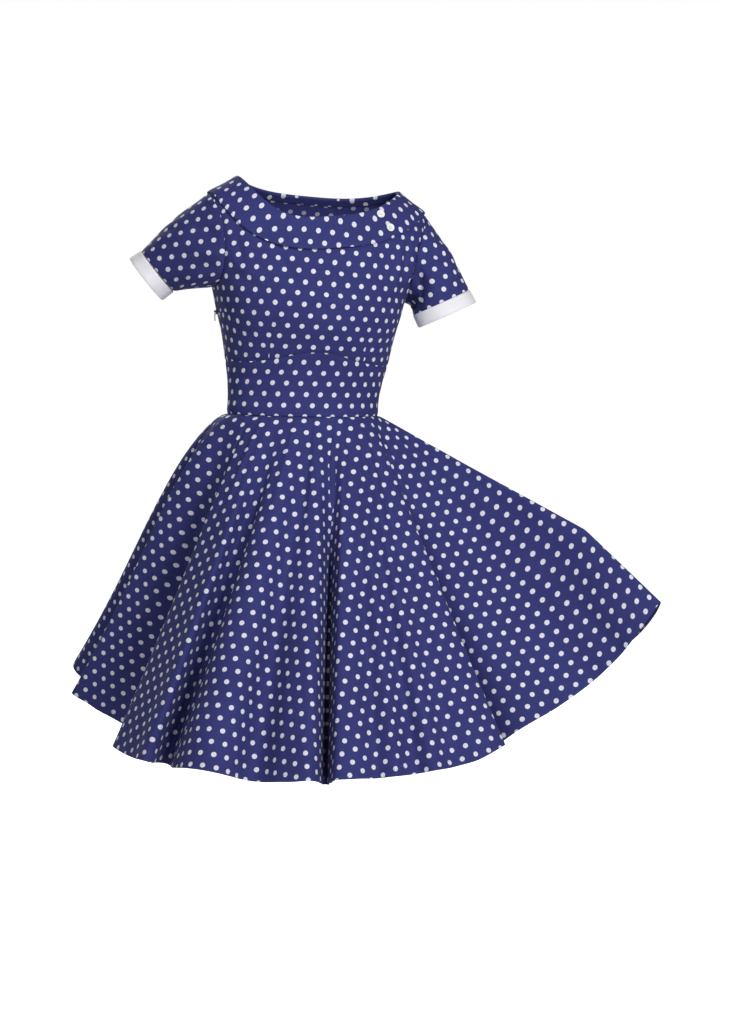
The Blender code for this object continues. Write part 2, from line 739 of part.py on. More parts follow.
def make_zip_pull(metal):
    """The pull tab: a flat tag that hangs from a knuckle round the pin, its origin."""
    pivot = zip_pivot()
    knuckle_length = LUGS_APART - 2 * KNUCKLE_GAP
    pull = round_bar("zip_pull", KNUCKLE_RADIUS, knuckle_length, metal, PIECES)
    pull.location = pivot
    neck_size = (PULL_THICKNESS, knuckle_length * PULL_NECK_SHARE, PULL_NECK)
    neck_centre = (0, 0, -PULL_NECK / 2 - ZIP_OVERLAP)
    neck = box_mesh("pull_neck", neck_size, neck_centre, metal, HELPERS)
    combine(pull, neck, "UNION", pivot)
    tag_size = (PULL_THICKNESS, PULL_WIDTH, PULL_LENGTH - PULL_NECK)
    tag_centre = (0, 0, -(PULL_LENGTH + PULL_NECK) / 2)
    combine(pull, box_mesh("pull_tag", tag_size, tag_centre, metal, HELPERS), "UNION", pivot)
    hole = round_bar("pull_eye", KNUCKLE_HOLE_RADIUS, 2 * LUGS_APART, metal, HELPERS)
    combine(pull, hole, "DIFFERENCE", pivot)


def clear_scene():
    for obj in list(bpy.data.objects):
        bpy.data.objects.remove(obj, do_unlink=True)


clear_scene()
PIECES = bpy.data.collections.new(DRESS_NAME)
HELPERS = bpy.data.collections.new("helpers")
for collection in (PIECES, HELPERS):
    bpy.context.scene.collection.children.link(collection)
NAVY_COTTON = plain_material("navy_cotton", NAVY, 0.85)
WHITE_COTTON = plain_material("white_cotton", WHITE, 0.85)
BUTTON_PLASTIC = plain_material("button_plastic", PEARL, 0.25)
ZIP_METAL = plain_material("zip_metal", METAL, 0.4, 0.8)
make_bodice(NAVY_COTTON)
make_collar(NAVY_COTTON)
make_sleeves(NAVY_COTTON, WHITE_COTTON)
make_skirt(NAVY_COTTON)
make_buttons(BUTTON_PLASTIC)
make_zip_slider(ZIP_METAL)
make_zip_pull(ZIP_METAL)
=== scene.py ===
"""The looks of a fit-and-flare polka dot dress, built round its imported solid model.

Each panel is made again as a fine shell of cloth on the form of its solid, with its creases,
seams, stitches, weave and dots. Sizes are in metres, +Z is up, the bodice faces -Y, and the
wearer's left is at +X.
"""

import math

import bmesh
import bpy
import numpy as np
from mathutils import Matrix, Vector


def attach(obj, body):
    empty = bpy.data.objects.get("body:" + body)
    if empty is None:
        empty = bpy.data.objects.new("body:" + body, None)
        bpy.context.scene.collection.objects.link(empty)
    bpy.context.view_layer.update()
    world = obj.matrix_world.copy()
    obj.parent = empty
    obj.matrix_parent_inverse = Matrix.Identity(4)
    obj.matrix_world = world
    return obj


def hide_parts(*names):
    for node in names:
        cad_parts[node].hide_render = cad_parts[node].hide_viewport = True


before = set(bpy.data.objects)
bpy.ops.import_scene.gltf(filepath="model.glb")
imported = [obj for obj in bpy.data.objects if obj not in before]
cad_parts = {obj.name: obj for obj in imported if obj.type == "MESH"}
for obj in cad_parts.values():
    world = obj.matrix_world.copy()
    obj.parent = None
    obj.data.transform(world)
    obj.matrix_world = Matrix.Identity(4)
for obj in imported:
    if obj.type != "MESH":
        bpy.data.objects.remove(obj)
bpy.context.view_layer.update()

bl_info = {
    "name": "Polka dot dress",
    "version": (1, 0, 0),
    "blender": (4, 5, 0),
    "location": "3D View > Sidebar > Dress",
    "description": "Builds a fit-and-flare polka dot dress, panel by panel",
    "category": "Object",
}

BODY = "dress"
TINY = 1e-9

# ---------------------------------------------------------------------------------------
# Shape of the dress, as its solids have it
# ---------------------------------------------------------------------------------------

UNDERARM_Z = -0.196
MIDRIFF_SEAM_Z = -0.320
MIDRIFF_SEAM_RISE = 0.022
MIDRIFF_SEAM_RISE_HALF_WIDTH = 0.075
WAIST_Z = -0.411
NECK_HALF_WIDTH = 0.150
NECK_DEPTH_FRONT = 0.0615
NECK_DEPTH_BACK = 0.020
NECK_CURVE_POWER = 3.0
NECK_FRONT_SKEW = -0.36
SHOULDER_POINT_X = 0.202
SHOULDER_POINT_Z = -0.035

# Half width, depths before and behind the side seams, and squareness of each level
TRUNK_COLUMNS = ("z", "half_width", "front", "back", "power")
TRUNK = (
    (-0.440, 0.1420, 0.104, 0.098, 2.1),
    (-0.411, 0.1380, 0.100, 0.093, 2.1),
    (-0.385, 0.1375, 0.100, 0.088, 2.1),
    (-0.350, 0.1415, 0.105, 0.088, 2.1),
    (-0.318, 0.1475, 0.114, 0.092, 2.2),
    (-0.270, 0.1555, 0.137, 0.098, 2.3),
    (-0.225, 0.1665, 0.151, 0.105, 2.4),
    (-0.196, 0.1735, 0.150, 0.108, 2.4),
    (-0.150, 0.1960, 0.140, 0.112, 2.3),
    (-0.100, 0.2135, 0.125, 0.105, 2.2),
    (-0.060, 0.2170, 0.110, 0.092, 2.1),
    (-0.035, 0.2020, 0.098, 0.080, 2.0),
    (-0.0175, 0.1760, 0.085, 0.068, 2.0),
    (0.000, 0.1500, 0.060, 0.050, 2.0),
)
ARMHOLE_COLUMNS = ("z", "x")
ARMHOLE = (
    (-0.196, 0.1735),
    (-0.190, 0.1728),
    (-0.170, 0.1715),
    (-0.140, 0.1730),
    (-0.100, 0.1785),
    (-0.060, 0.1900),
    (-0.035, 0.2020),
)

# Sideways shift, drop for each metre towards +X, and turn in degrees of the upper body
LEAN_COLUMNS = ("z", "shift", "drop", "turn")
LEAN = (
    (-0.440, -0.029, 0.022, 0.0),
    (-0.411, -0.029, 0.022, 0.0),
    (-0.318, -0.022, 0.038, 0.8),
    (-0.196, -0.019, 0.076, 3.0),
    (0.000, 0.000, 0.082, 5.0),
)

SLEEVE_COLUMNS = ("name", "side", "centre", "axis", "radius_up", "radius_front")
SLEEVES = (
    ("right", -1, (-0.284, 0.056, -0.153), (-0.774, 0.150, -0.616), 0.0465, 0.050),
    ("left", 1, (0.214, -0.060, -0.209), (0.398, -0.077, -0.914), 0.0555, 0.050),
)
CUFF_WIDTH = 0.026
SLEEVE_FULLNESS = 0.006
UNDERARM_EASE = 0.013
UNDERARM_EASE_CURVE = 0.7

# One place on the skirt's hem for each row: plan position, straight length from the waist
# seam, and how far the cloth stands off that line over the hip. From the held-out corner.
HEM_COLUMNS = ("x", "y", "length", "hip")
HEM_FRONT = (
    (0.600, -0.200, 0.620, 0.000),
    (0.490, -0.178, 0.618, 0.000),
    (0.368, -0.212, 0.622, 0.000),
    (0.310, -0.200, 0.634, 0.004),
    (0.326, -0.258, 0.642, 0.006),
    (0.283, -0.303, 0.656, 0.006),
    (0.243, -0.302, 0.656, 0.006),
    (0.205, -0.333, 0.660, 0.006),
    (0.172, -0.320, 0.656, 0.006),
    (0.142, -0.348, 0.660, 0.006),
    (0.106, -0.334, 0.657, 0.006),
    (0.070, -0.360, 0.660, 0.006),
    (0.030, -0.356, 0.661, 0.006),
    (0.018, -0.250, 0.650, 0.006),
    (0.003, -0.363, 0.659, 0.006),
    (-0.040, -0.371, 0.661, 0.006),
    (-0.105, -0.316, 0.655, 0.010),
    (-0.165, -0.364, 0.658, 0.012),
    (-0.235, -0.328, 0.656, 0.014),
    (-0.262, -0.196, 0.645, 0.018),
    (-0.296, -0.258, 0.648, 0.020),
    (-0.334, -0.190, 0.647, 0.022),
    (-0.366, -0.085, 0.646, 0.024),
    (-0.275, -0.015, 0.640, 0.026),
    (-0.366, 0.070, 0.646, 0.028),
    (-0.424, 0.108, 0.646, 0.030),
    (-0.468, 0.140, 0.650, 0.030),
    (-0.390, 0.190, 0.650, 0.030),
)
HEM_BACK = (
    (-0.478, 0.262, 0.664, 0.030),
    (-0.462, 0.322, 0.662, 0.030),
    (-0.368, 0.308, 0.654, 0.030),
    (-0.392, 0.385, 0.656, 0.028),
    (-0.340, 0.432, 0.656, 0.028),
    (-0.258, 0.358, 0.650, 0.026),
    (-0.235, 0.445, 0.654, 0.026),
    (-0.175, 0.474, 0.656, 0.025),
    (-0.122, 0.392, 0.650, 0.024),
    (-0.074, 0.468, 0.654, 0.024),
    (-0.002, 0.484, 0.656, 0.024),
    (0.034, 0.388, 0.648, 0.024),
    (0.092, 0.450, 0.654, 0.024),
    (0.154, 0.436, 0.655, 0.023),
    (0.166, 0.348, 0.646, 0.022),
    (0.238, 0.386, 0.652, 0.021),
    (0.288, 0.350, 0.652, 0.019),
    (0.264, 0.270, 0.642, 0.017),
    (0.350, 0.290, 0.648, 0.015),
    (0.390, 0.240, 0.646, 0.012),
    (0.348, 0.170, 0.638, 0.010),
    (0.438, 0.172, 0.640, 0.007),
    (0.474, 0.110, 0.636, 0.005),
    (0.448, 0.040, 0.626, 0.003),
    (0.560, -0.030, 0.622, 0.000),
)
SKIRT_TURN = math.radians(-11)
HIP_PEAK = 0.28
HIP_CURVE = 0.6
PINCH_LIFT = 0.040
PINCH_PLACE = 0.74
PINCH_REACH = 0.080
HEM_SAMPLES_EACH = 24

# The skirt's cut: a full circle, with the angle of its first edge from straight down
FLAT_WAIST_RADIUS = 0.119
FLAT_HEM_RADIUS = 0.780
FLAT_START = {"front": math.radians(45.5), "back": math.radians(-134.5)}

# ---------------------------------------------------------------------------------------
# Creases, each a soft trough (negative depth) or ridge between two places on the flat cloth
# ---------------------------------------------------------------------------------------

CREASE_COLUMNS = ("across_1", "up_1", "across_2", "up_2", "width", "depth")
BODICE_FRONT_CREASES = (
    (-0.096, -0.304, -0.090, -0.246, 0.0030, -0.0020),
    (0.092, -0.304, 0.087, -0.248, 0.0030, -0.0020),
    (-0.205, -0.240, -0.150, -0.222, 0.0030, -0.0014),
    (0.205, -0.240, 0.152, -0.223, 0.0030, -0.0014),
    (-0.190, -0.168, -0.110, -0.196, 0.0090, -0.0034),
    (-0.185, -0.140, -0.128, -0.172, 0.0080, 0.0026),
    (-0.178, -0.100, -0.150, -0.160, 0.0070, -0.0030),
    (0.192, -0.160, 0.130, -0.205, 0.0090, -0.0036),
    (0.168, -0.085, 0.150, -0.172, 0.0075, -0.0042),
    (0.150, -0.100, 0.138, -0.178, 0.0080, 0.0036),
    (0.186, -0.118, 0.172, -0.176, 0.0060, 0.0030),
    (-0.060, -0.206, 0.060, -0.210, 0.0095, 0.0048),
    (-0.055, -0.181, 0.072, -0.187, 0.0110, -0.0050),
    (-0.092, -0.122, -0.052, -0.184, 0.0100, -0.0052),
    (-0.030, -0.140, 0.075, -0.150, 0.0110, -0.0040),
    (0.060, -0.136, 0.105, -0.120, 0.0080, 0.0030),
    (-0.055, -0.286, 0.035, -0.276, 0.0110, -0.0016),
    (-0.180, -0.285, -0.120, -0.272, 0.0070, -0.0016),
    (0.175, -0.290, 0.120, -0.276, 0.0070, -0.0018),
    (-0.030, -0.205, 0.030, -0.235, 0.0180, -0.0024),
)
BODICE_BACK_CREASES = (
    (-0.182, -0.150, -0.105, -0.190, 0.0090, -0.0034),
    (-0.176, -0.100, -0.148, -0.168, 0.0075, -0.0034),
    (0.180, -0.158, 0.112, -0.186, 0.0085, -0.0030),
    (0.172, -0.110, 0.150, -0.160, 0.0070, 0.0026),
    (-0.085, -0.300, -0.078, -0.190, 0.0030, -0.0014),
    (0.085, -0.300, 0.078, -0.190, 0.0030, -0.0014),
    (-0.060, -0.250, 0.050, -0.262, 0.0120, -0.0026),
    (-0.090, -0.278, 0.010, -0.286, 0.0090, -0.0020),
    (0.020, -0.222, 0.110, -0.236, 0.0100, -0.0020),
    (-0.040, -0.120, 0.050, -0.128, 0.0120, -0.0016),
)
MIDRIFF_FRONT_CREASES = (
    (-0.170, -0.350, -0.100, -0.342, 0.0060, -0.0014),
    (-0.150, -0.384, -0.070, -0.374, 0.0065, -0.0016),
    (-0.185, -0.398, -0.120, -0.392, 0.0050, 0.0012),
    (0.070, -0.392, 0.150, -0.380, 0.0060, -0.0016),
    (0.110, -0.352, 0.180, -0.345, 0.0060, -0.0014),
    (-0.030, -0.372, 0.050, -0.378, 0.0080, -0.0010),
)
MIDRIFF_BACK_CREASES = (
    (-0.160, -0.352, -0.060, -0.362, 0.0070, -0.0024),
    (-0.090, -0.384, 0.030, -0.378, 0.0060, -0.0022),
    (0.030, -0.352, 0.150, -0.344, 0.0070, -0.0022),
    (0.080, -0.390, 0.160, -0.384, 0.0060, -0.0016),
)

# On a sleeve: distance round from the top of the arm, towards the front, and from the armhole
SLEEVE_CREASES = {
    "right": (
        (0.120, -0.004, 0.060, -0.060, 0.0080, -0.0040),
        (0.140, -0.012, 0.100, -0.075, 0.0070, 0.0034),
        (0.165, -0.010, 0.135, -0.070, 0.0070, -0.0036),
        (-0.135, -0.008, -0.085, -0.070, 0.0085, -0.0040),
        (-0.160, -0.012, -0.120, -0.065, 0.0070, 0.0030),
        (0.020, -0.060, -0.030, -0.110, 0.0110, -0.0022),
        (0.050, -0.080, 0.015, -0.125, 0.0090, -0.0018),
    ),
    "left": (
        (0.105, -0.010, 0.040, -0.085, 0.0090, -0.0052),
        (0.130, -0.010, 0.085, -0.095, 0.0075, 0.0048),
        (0.155, -0.008, 0.120, -0.090, 0.0070, -0.0050),
        (0.060, -0.020, 0.005, -0.070, 0.0100, -0.0028),
        (-0.130, -0.008, -0.080, -0.080, 0.0085, -0.0042),
        (-0.155, -0.012, -0.120, -0.070, 0.0070, 0.0032),
        (-0.020, -0.095, 0.045, -0.135, 0.0100, -0.0020),
    ),
}

# On a skirt panel: distance along the hem from its first edge, and down from the waist
SKIRT_CREASES = {
    "front": (
        (0.250, -0.010, 0.330, -0.300, 0.0260, 0.0050),
        (0.120, -0.120, 0.200, -0.560, 0.0450, -0.0060),
        (0.400, -0.020, 0.430, -0.210, 0.0220, -0.0050),
        (0.700, -0.010, 0.705, -0.180, 0.0200, 0.0036),
        (1.040, -0.020, 1.040, -0.230, 0.0300, 0.0100),
        (0.870, -0.010, 0.880, -0.240, 0.0220, -0.0030),
        (1.250, -0.010, 1.255, -0.220, 0.0240, -0.0044),
        (1.420, -0.010, 1.400, -0.200, 0.0220, 0.0040),
        (1.545, -0.120, 1.530, -0.640, 0.0300, -0.0120),
        (1.760, -0.010, 1.740, -0.190, 0.0220, 0.0042),
        (1.900, -0.010, 1.930, -0.280, 0.0260, -0.0050),
        (2.080, -0.120, 2.080, -0.700, 0.0600, -0.0320),
        (2.300, -0.020, 2.330, -0.300, 0.0280, -0.0040),
    ),
    "back": (
        (0.140, -0.020, 0.120, -0.260, 0.0260, -0.0050),
        (0.330, -0.010, 0.350, -0.200, 0.0220, 0.0044),
        (0.520, -0.010, 0.500, -0.280, 0.0260, -0.0052),
        (0.700, -0.010, 0.720, -0.190, 0.0230, 0.0042),
        (0.900, -0.010, 0.880, -0.250, 0.0250, -0.0050),
        (1.090, -0.010, 1.110, -0.180, 0.0220, 0.0040),
        (1.280, -0.010, 1.260, -0.270, 0.0260, -0.0048),
        (1.480, -0.010, 1.500, -0.200, 0.0220, 0.0042),
        (1.680, -0.010, 1.660, -0.240, 0.0250, -0.0046),
        (1.880, -0.010, 1.900, -0.180, 0.0220, 0.0036),
        (2.100, -0.040, 2.060, -0.420, 0.0400, -0.0050),
    ),
}

# Fine unevenness of a hem: waves in each metre, height at the hem, and phase
RIPPLE_COLUMNS = ("waves", "height", "phase")
RIPPLES = (
    (7.3, 0.0018, 0.4),
    (11.9, 0.0012, 2.1),
    (19.0, 0.0006, 4.4),
)


# ---------------------------------------------------------------------------------------
# Settings shown in the sidebar
# ---------------------------------------------------------------------------------------


def length_property(name, description, default):
    return bpy.props.FloatProperty(
        name=name, description=description, default=default, min=0, precision=5, unit="LENGTH"
    )


def colour_property(name, description, default):
    return bpy.props.FloatVectorProperty(
        name=name, description=description, default=default, min=0, max=1, size=4, subtype="COLOR"
    )


class DressClothSettings(bpy.types.PropertyGroup):
    navy: colour_property("Navy", "Ground of the print", (0.034, 0.039, 0.168, 1))
    dot: colour_property("Dot", "Dots of the print", (0.70, 0.70, 0.80, 1))
    white: colour_property("White", "Cuffs", (0.80, 0.79, 0.83, 1))
    pearl: colour_property("Pearl", "Buttons", (0.88, 0.87, 0.85, 1))
    dot_radius: length_property("Dot radius", "Half the width of a dot", 0.0044)
    dots_apart: length_property("Dots apart", "Distance between dots in a row", 0.0255)
    rows_apart: length_property("Rows apart", "Distance between rows of dots", 0.0196)
    thread_pitch: length_property("Thread pitch", "Distance between threads of the weave", 0.0008)
    cloth_thickness: length_property("Cloth thickness", "Thickness of a panel", 0.0012)
    collar_thickness: length_property("Collar thickness", "Thickness of the collar", 0.0016)
    cuff_thickness: length_property("Cuff thickness", "Thickness of a turned cuff", 0.0018)


class DressSewingSettings(bpy.types.PropertyGroup):
    seam_width: length_property("Seam width", "Reach of the dip beside a seam", 0.0035)
    seam_depth: length_property("Seam depth", "Depth of the dip at a seam", 0.0013)
    stitch_pitch: length_property("Stitch pitch", "Distance between stitches", 0.0032)
    stitch_length: length_property("Stitch length", "Length of a stitch", 0.0024)
    thread_radius: length_property("Thread radius", "Radius of the sewing thread", 0.00022)
    tooth_pitch: length_property("Tooth pitch", "Distance between zip teeth", 0.0013)
    hem_allowance: length_property("Hem allowance", "Height of the stitches over the hem", 0.012)


class DressStageSettings(bpy.types.PropertyGroup):
    azimuth: bpy.props.FloatProperty(
        name="Azimuth",
        description="Turn of the camera round the dress",
        default=math.radians(-11),
        subtype="ANGLE",
    )
    distance: length_property("Distance", "Camera to the dress, over the floor", 4.5)
    aside: length_property("Aside", "Shift of the camera to its right", 0.0856)
    camera_height: bpy.props.FloatProperty(
        name="Camera height",
        description="Height of the camera over the shoulder line",
        default=-0.20,
        unit="LENGTH",
    )
    aim_drop: length_property("Aim drop", "How far under the camera it aims", 0.389)
    lens: bpy.props.FloatProperty(
        name="Lens", description="Focal length in millimetres", default=87.3, min=1
    )
    floor_drop: length_property("Floor", "Floor under the shoulder line", 1.44)


# ---------------------------------------------------------------------------------------
# The form of the panels
# ---------------------------------------------------------------------------------------


def columns_of(names, rows):
    """A table with named columns as a dictionary of arrays."""
    return {name: np.array(column) for name, column in zip(names, zip(*rows))}


def smooth_between(places, values, at):
    """A smooth curve through a table's values."""
    slopes = np.gradient(values, places)
    at = np.clip(at, places[0], places[-1])
    left = np.clip(np.searchsorted(places, at) - 1, 0, len(places) - 2)
    span = places[left + 1] - places[left]
    t = (at - places[left]) / span
    return (
        (2 * t**3 - 3 * t**2 + 1) * values[left]
        + (t**3 - 2 * t**2 + t) * span * slopes[left]
        + (3 * t**2 - 2 * t**3) * values[left + 1]
        + (t**3 - t**2) * span * slopes[left + 1]
    )


TRUNK_AT = columns_of(TRUNK_COLUMNS, TRUNK)
ARMHOLE_AT = columns_of(ARMHOLE_COLUMNS, ARMHOLE)
LEAN_AT = columns_of(LEAN_COLUMNS, LEAN)


def trunk(column, z):
    return smooth_between(TRUNK_AT["z"], TRUNK_AT[column], np.asarray(z, float))


def trunk_depth(x, z, face):
    share = np.clip(np.abs(x) / trunk("half_width", z), 0, 1)
    power = trunk("power", z)
    return trunk(face, z) * (1 - share**power) ** (1 / power)


def leaned(points):
    """Points of the upright trunk, moved to where they are on the leaning one."""
    x, y, z = np.moveaxis(np.array(points, float), -1, 0)
    shift, drop, turn = (smooth_between(LEAN_AT["z"], LEAN_AT[n], z) for n in LEAN_COLUMNS[1:])
    cos, sin = np.cos(np.radians(turn)), np.sin(np.radians(turn))
    return np.stack([x * cos - y * sin + shift, x * sin + y * cos, z - drop * x], axis=-1)


def neck_edge_z(x, face):
    depth = NECK_DEPTH_BACK
    if face == "front":
        depth = NECK_DEPTH_FRONT * (1 + NECK_FRONT_SKEW * x / NECK_HALF_WIDTH)
    share = np.clip(np.abs(x) / NECK_HALF_WIDTH, 0, 1)
    return -depth * (1 - share**NECK_CURVE_POWER)


def midriff_seam_z(x, face):
    rise = MIDRIFF_SEAM_RISE if face == "front" else 0
    return MIDRIFF_SEAM_Z + rise * np.exp(-((x / MIDRIFF_SEAM_RISE_HALF_WIDTH) ** 2))


def panel_edge_x(z):
    armhole = smooth_between(ARMHOLE_AT["z"], ARMHOLE_AT["x"], z)
    return np.where(z < UNDERARM_Z, trunk("half_width", z), armhole)


SIDE_ROWS = 44
ARMHOLE_ROWS = 72
ARMHOLE_ROWS_CROWDED = 0.55
NECK_SPANS = 108
SHOULDER_SPANS = 22


def bodice_grid(face):
    """The upright bodice panel, a row for each level from the midriff seam to its top."""
    neck_angle = math.asin(NECK_HALF_WIDTH / SHOULDER_POINT_X)
    angles = np.concatenate(
        [
            np.linspace(-math.pi / 2, -neck_angle, SHOULDER_SPANS + 1),
            np.linspace(-neck_angle, neck_angle, NECK_SPANS + 1)[1:-1],
            np.linspace(neck_angle, math.pi / 2, SHOULDER_SPANS + 1),
        ]
    )
    across = np.sin(angles)
    top_x = across * SHOULDER_POINT_X
    past_neck = np.clip(np.abs(top_x) - NECK_HALF_WIDTH, 0, None)
    shoulder_slope = SHOULDER_POINT_Z / (SHOULDER_POINT_X - NECK_HALF_WIDTH)
    top = np.where(past_neck > TINY, past_neck * shoulder_slope, neck_edge_z(top_x, face))
    bottom = midriff_seam_z(across * trunk("half_width", MIDRIFF_SEAM_Z), face)
    level = np.linspace(0, 1, SIDE_ROWS + 1)[:-1, None]
    lower = bottom + (UNDERARM_Z - bottom) * level
    step = np.linspace(0, 1, ARMHOLE_ROWS + 1)[:, None]
    crowded = ARMHOLE_ROWS_CROWDED
    eased = (1 - crowded) * step + crowded * np.sin(step * math.pi / 2)
    upper = UNDERARM_Z + (top - UNDERARM_Z) * eased
    z = np.concatenate([lower, upper])
    x = across * panel_edge_x(z)
    y = trunk_depth(x, z, face) * (-1 if face == "front" else 1)
    y[:, 0] *= np.where(z[:, 0] > UNDERARM_Z + TINY, 1, 0)
    y[:, -1] *= np.where(z[:, -1] > UNDERARM_Z + TINY, 1, 0)
    y[-1, np.abs(top_x) >= NECK_HALF_WIDTH - TINY] = 0
    return np.stack([x, y, z], axis=-1)


MIDRIFF_SPANS = 150
MIDRIFF_ROWS = 40


def midriff_grid(face):
    """The upright midriff panel, from the waist seam up to the midriff seam."""
    across = np.sin(np.linspace(-math.pi / 2, math.pi / 2, MIDRIFF_SPANS + 1))
    top = midriff_seam_z(across * trunk("half_width", MIDRIFF_SEAM_Z), face)
    z = WAIST_Z + (top - WAIST_Z) * np.linspace(0, 1, MIDRIFF_ROWS + 1)[:, None]
    x = across * trunk("half_width", z)
    y = trunk_depth(x, z, face) * (-1 if face == "front" else 1)
    y[:, [0, -1]] = 0
    return np.stack([x, y, z], axis=-1)


SLOPE_STEP = 1e-5
PASSES_TO_SURFACE = 4


def trunk_normals(points):
    """The way out of the upright trunk and the section formula's value at each point."""

    def inside(p):
        x, y, z = np.moveaxis(p, -1, 0)
        power = trunk("power", z)
        depth = np.where(y < 0, trunk("front", z), trunk("back", z))
        return (np.abs(x) / trunk("half_width", z)) ** power + (np.abs(y) / depth) ** power

    slopes = [
        inside(points + SLOPE_STEP * axis) - inside(points - SLOPE_STEP * axis)
        for axis in np.eye(3)
    ]
    normals = np.stack(slopes, axis=-1)
    return normals / np.linalg.norm(normals, axis=-1, keepdims=True), inside(points)


def walk_on_trunk(points, ways, length, steps):
    """Points moved this far over the trunk's surface, starting each in its own direction."""
    stops = [points]
    for _ in range(steps):
        points = points + ways * length / steps
        for _ in range(PASSES_TO_SURFACE):
            normals, value = trunk_normals(points)
            beyond = trunk_normals(points + SLOPE_STEP * normals)[1]
            slope = (beyond - value) / SLOPE_STEP
            points = points - normals * ((value - 1) / slope)[..., None]
        normals, _ = trunk_normals(points)
        ways = ways - normals * np.sum(ways * normals, axis=-1, keepdims=True)
        ways = ways / np.linalg.norm(ways, axis=-1, keepdims=True)
        stops.append(points)
    return np.array(stops)


def neck_edge_point(x, face):
    z = neck_edge_z(x, face)
    y = trunk_depth(x, z, face) * (-1 if face == "front" else 1)
    return np.stack([x, y, z], axis=-1)


def neck_loop(spans):
    """The neck edge as a closed ring, from the wearer's right by the front and back again."""
    angles = np.linspace(0, math.pi, spans // 2 + 1)[:-1]
    x = -NECK_HALF_WIDTH * np.cos(angles)
    return np.concatenate([neck_edge_point(x, "front"), neck_edge_point(-x, "back")])


def unit(vectors):
    vectors = np.asarray(vectors, float)
    return vectors / np.maximum(np.linalg.norm(vectors, axis=-1, keepdims=True), 1e-12)


COLLAR_SPANS = 264
COLLAR_ROWS = 30
COLLAR_WIDTH = 0.0575
COLLAR_LIFT = 0.0012
COLLAR_GAP = 0.0008
COLLAR_ROLL_RADIUS = 0.0034
COLLAR_INSIDE = 0.012
COLLAR_ROLL_STEPS = 10
COLLAR_INSIDE_STEPS = 5
COLLAR_ROLL_REACH = 0.010
COLLAR_STAND_POWER = 2.2
COLLAR_EDGE_DIP = 0.0009
COLLAR_EDGE_REACH = 0.0022
# How far the free edge stands off: share round the neck from the wearer's right, width, lift
COLLAR_STAND_OFF = (
    (0.10, 0.040, 0.0020),
    (0.19, 0.035, 0.0032),
    (0.27, 0.040, 0.0038),
    (0.36, 0.030, 0.0020),
    (0.44, 0.030, 0.0034),
    (0.58, 0.050, 0.0022),
    (0.72, 0.050, 0.0030),
    (0.86, 0.040, 0.0022),
)


def collar_grid(thickness):
    """The collar's outer face, from its free edge up, over the roll and down inside the neck."""
    ring = neck_loop(COLLAR_SPANS)
    normals, _ = trunk_normals(ring)
    along = np.roll(ring, -1, axis=0) - np.roll(ring, 1, axis=0)
    ways = unit(np.cross(along, normals))
    walked = walk_on_trunk(ring, ways, COLLAR_WIDTH, COLLAR_ROWS)
    outward, _ = trunk_normals(walked)
    share = np.linspace(0, 1, COLLAR_ROWS + 1)[:, None]
    place = np.linspace(0, 1, COLLAR_SPANS, endpoint=False)
    stand = np.zeros_like(place)
    for centre, width, lift in COLLAR_STAND_OFF:
        stand += lift * np.exp(-(((place - centre) / width) ** 2))
    roll = COLLAR_ROLL_RADIUS
    low = COLLAR_GAP + thickness
    from_roll = share * COLLAR_WIDTH
    from_edge = (1 - share) * COLLAR_WIDTH
    off = low + COLLAR_LIFT * share + stand * share**COLLAR_STAND_POWER
    off = off + (roll - low) * np.exp(-((from_roll / COLLAR_ROLL_REACH) ** 2))
    off = off - COLLAR_EDGE_DIP * np.exp(-((from_edge / COLLAR_EDGE_REACH) ** 2))
    outer = (walked + outward * off[..., None])[::-1]
    turn = np.linspace(0, math.pi, COLLAR_ROLL_STEPS + 1)[1:, None, None]
    over = ring + normals * roll * np.cos(turn) - ways * roll * np.sin(turn)
    down = np.linspace(0, COLLAR_INSIDE, COLLAR_INSIDE_STEPS + 1)[1:, None, None]
    inner = ring - normals * roll + ways * down
    return np.concatenate([outer, over, inner])


COLLAR_GRAIN = math.radians(3.5)


def shoulder_ridge_z(x):
    past = np.clip(np.abs(x) - NECK_HALF_WIDTH, 0, None)
    return past * SHOULDER_POINT_Z / (SHOULDER_POINT_X - NECK_HALF_WIDTH)


def collar_uv(grid):
    """The collar is cut across the grain: distance from the middle, and from the shoulder."""
    x, y, z = np.moveaxis(grid, -1, 0)
    ridge = shoulder_ridge_z(x)
    slope = math.hypot(1, SHOULDER_POINT_Z / (SHOULDER_POINT_X - NECK_HALF_WIDTH))
    past = np.clip(np.abs(x) - NECK_HALF_WIDTH, 0, None)
    across = np.sign(x) * (np.minimum(np.abs(x), NECK_HALF_WIDTH) + past * slope)
    away = np.hypot(y, z - ridge)
    away = np.where(y < 0, -away, away)
    cos, sin = math.cos(COLLAR_GRAIN), math.sin(COLLAR_GRAIN)
    return np.stack([across * cos - away * sin, across * sin + away * cos], axis=-1)


def armhole_loop(side):
    """The armhole as a closed ring: from the shoulder point down the front, up the back."""
    column = -1 if side > 0 else 0
    front = leaned(bodice_grid("front")[SIDE_ROWS:, column])
    back = leaned(bodice_grid("back")[SIDE_ROWS:, column])
    return np.concatenate([front[::-1], back[1:-1]])


def cuff_frame(sleeve):
    axis = unit(sleeve["axis"])
    up = unit(np.cross(np.cross(axis, (0, 0, 1)), axis))
    return axis, up, np.cross(axis, up) * sleeve["side"]


def cuff_ring(sleeve, count, past=0.0, extra=0.0):
    axis, up, front = cuff_frame(sleeve)
    angles = np.linspace(0, 2 * math.pi, count, endpoint=False)[:, None]
    radius_up = sleeve["radius_up"] + extra
    radius_front = sleeve["radius_front"] + extra
    ring = radius_up * np.cos(angles) * up + radius_front * np.sin(angles) * front
    return np.array(sleeve["centre"]) + ring + past * axis


SLEEVE_ROWS = 60


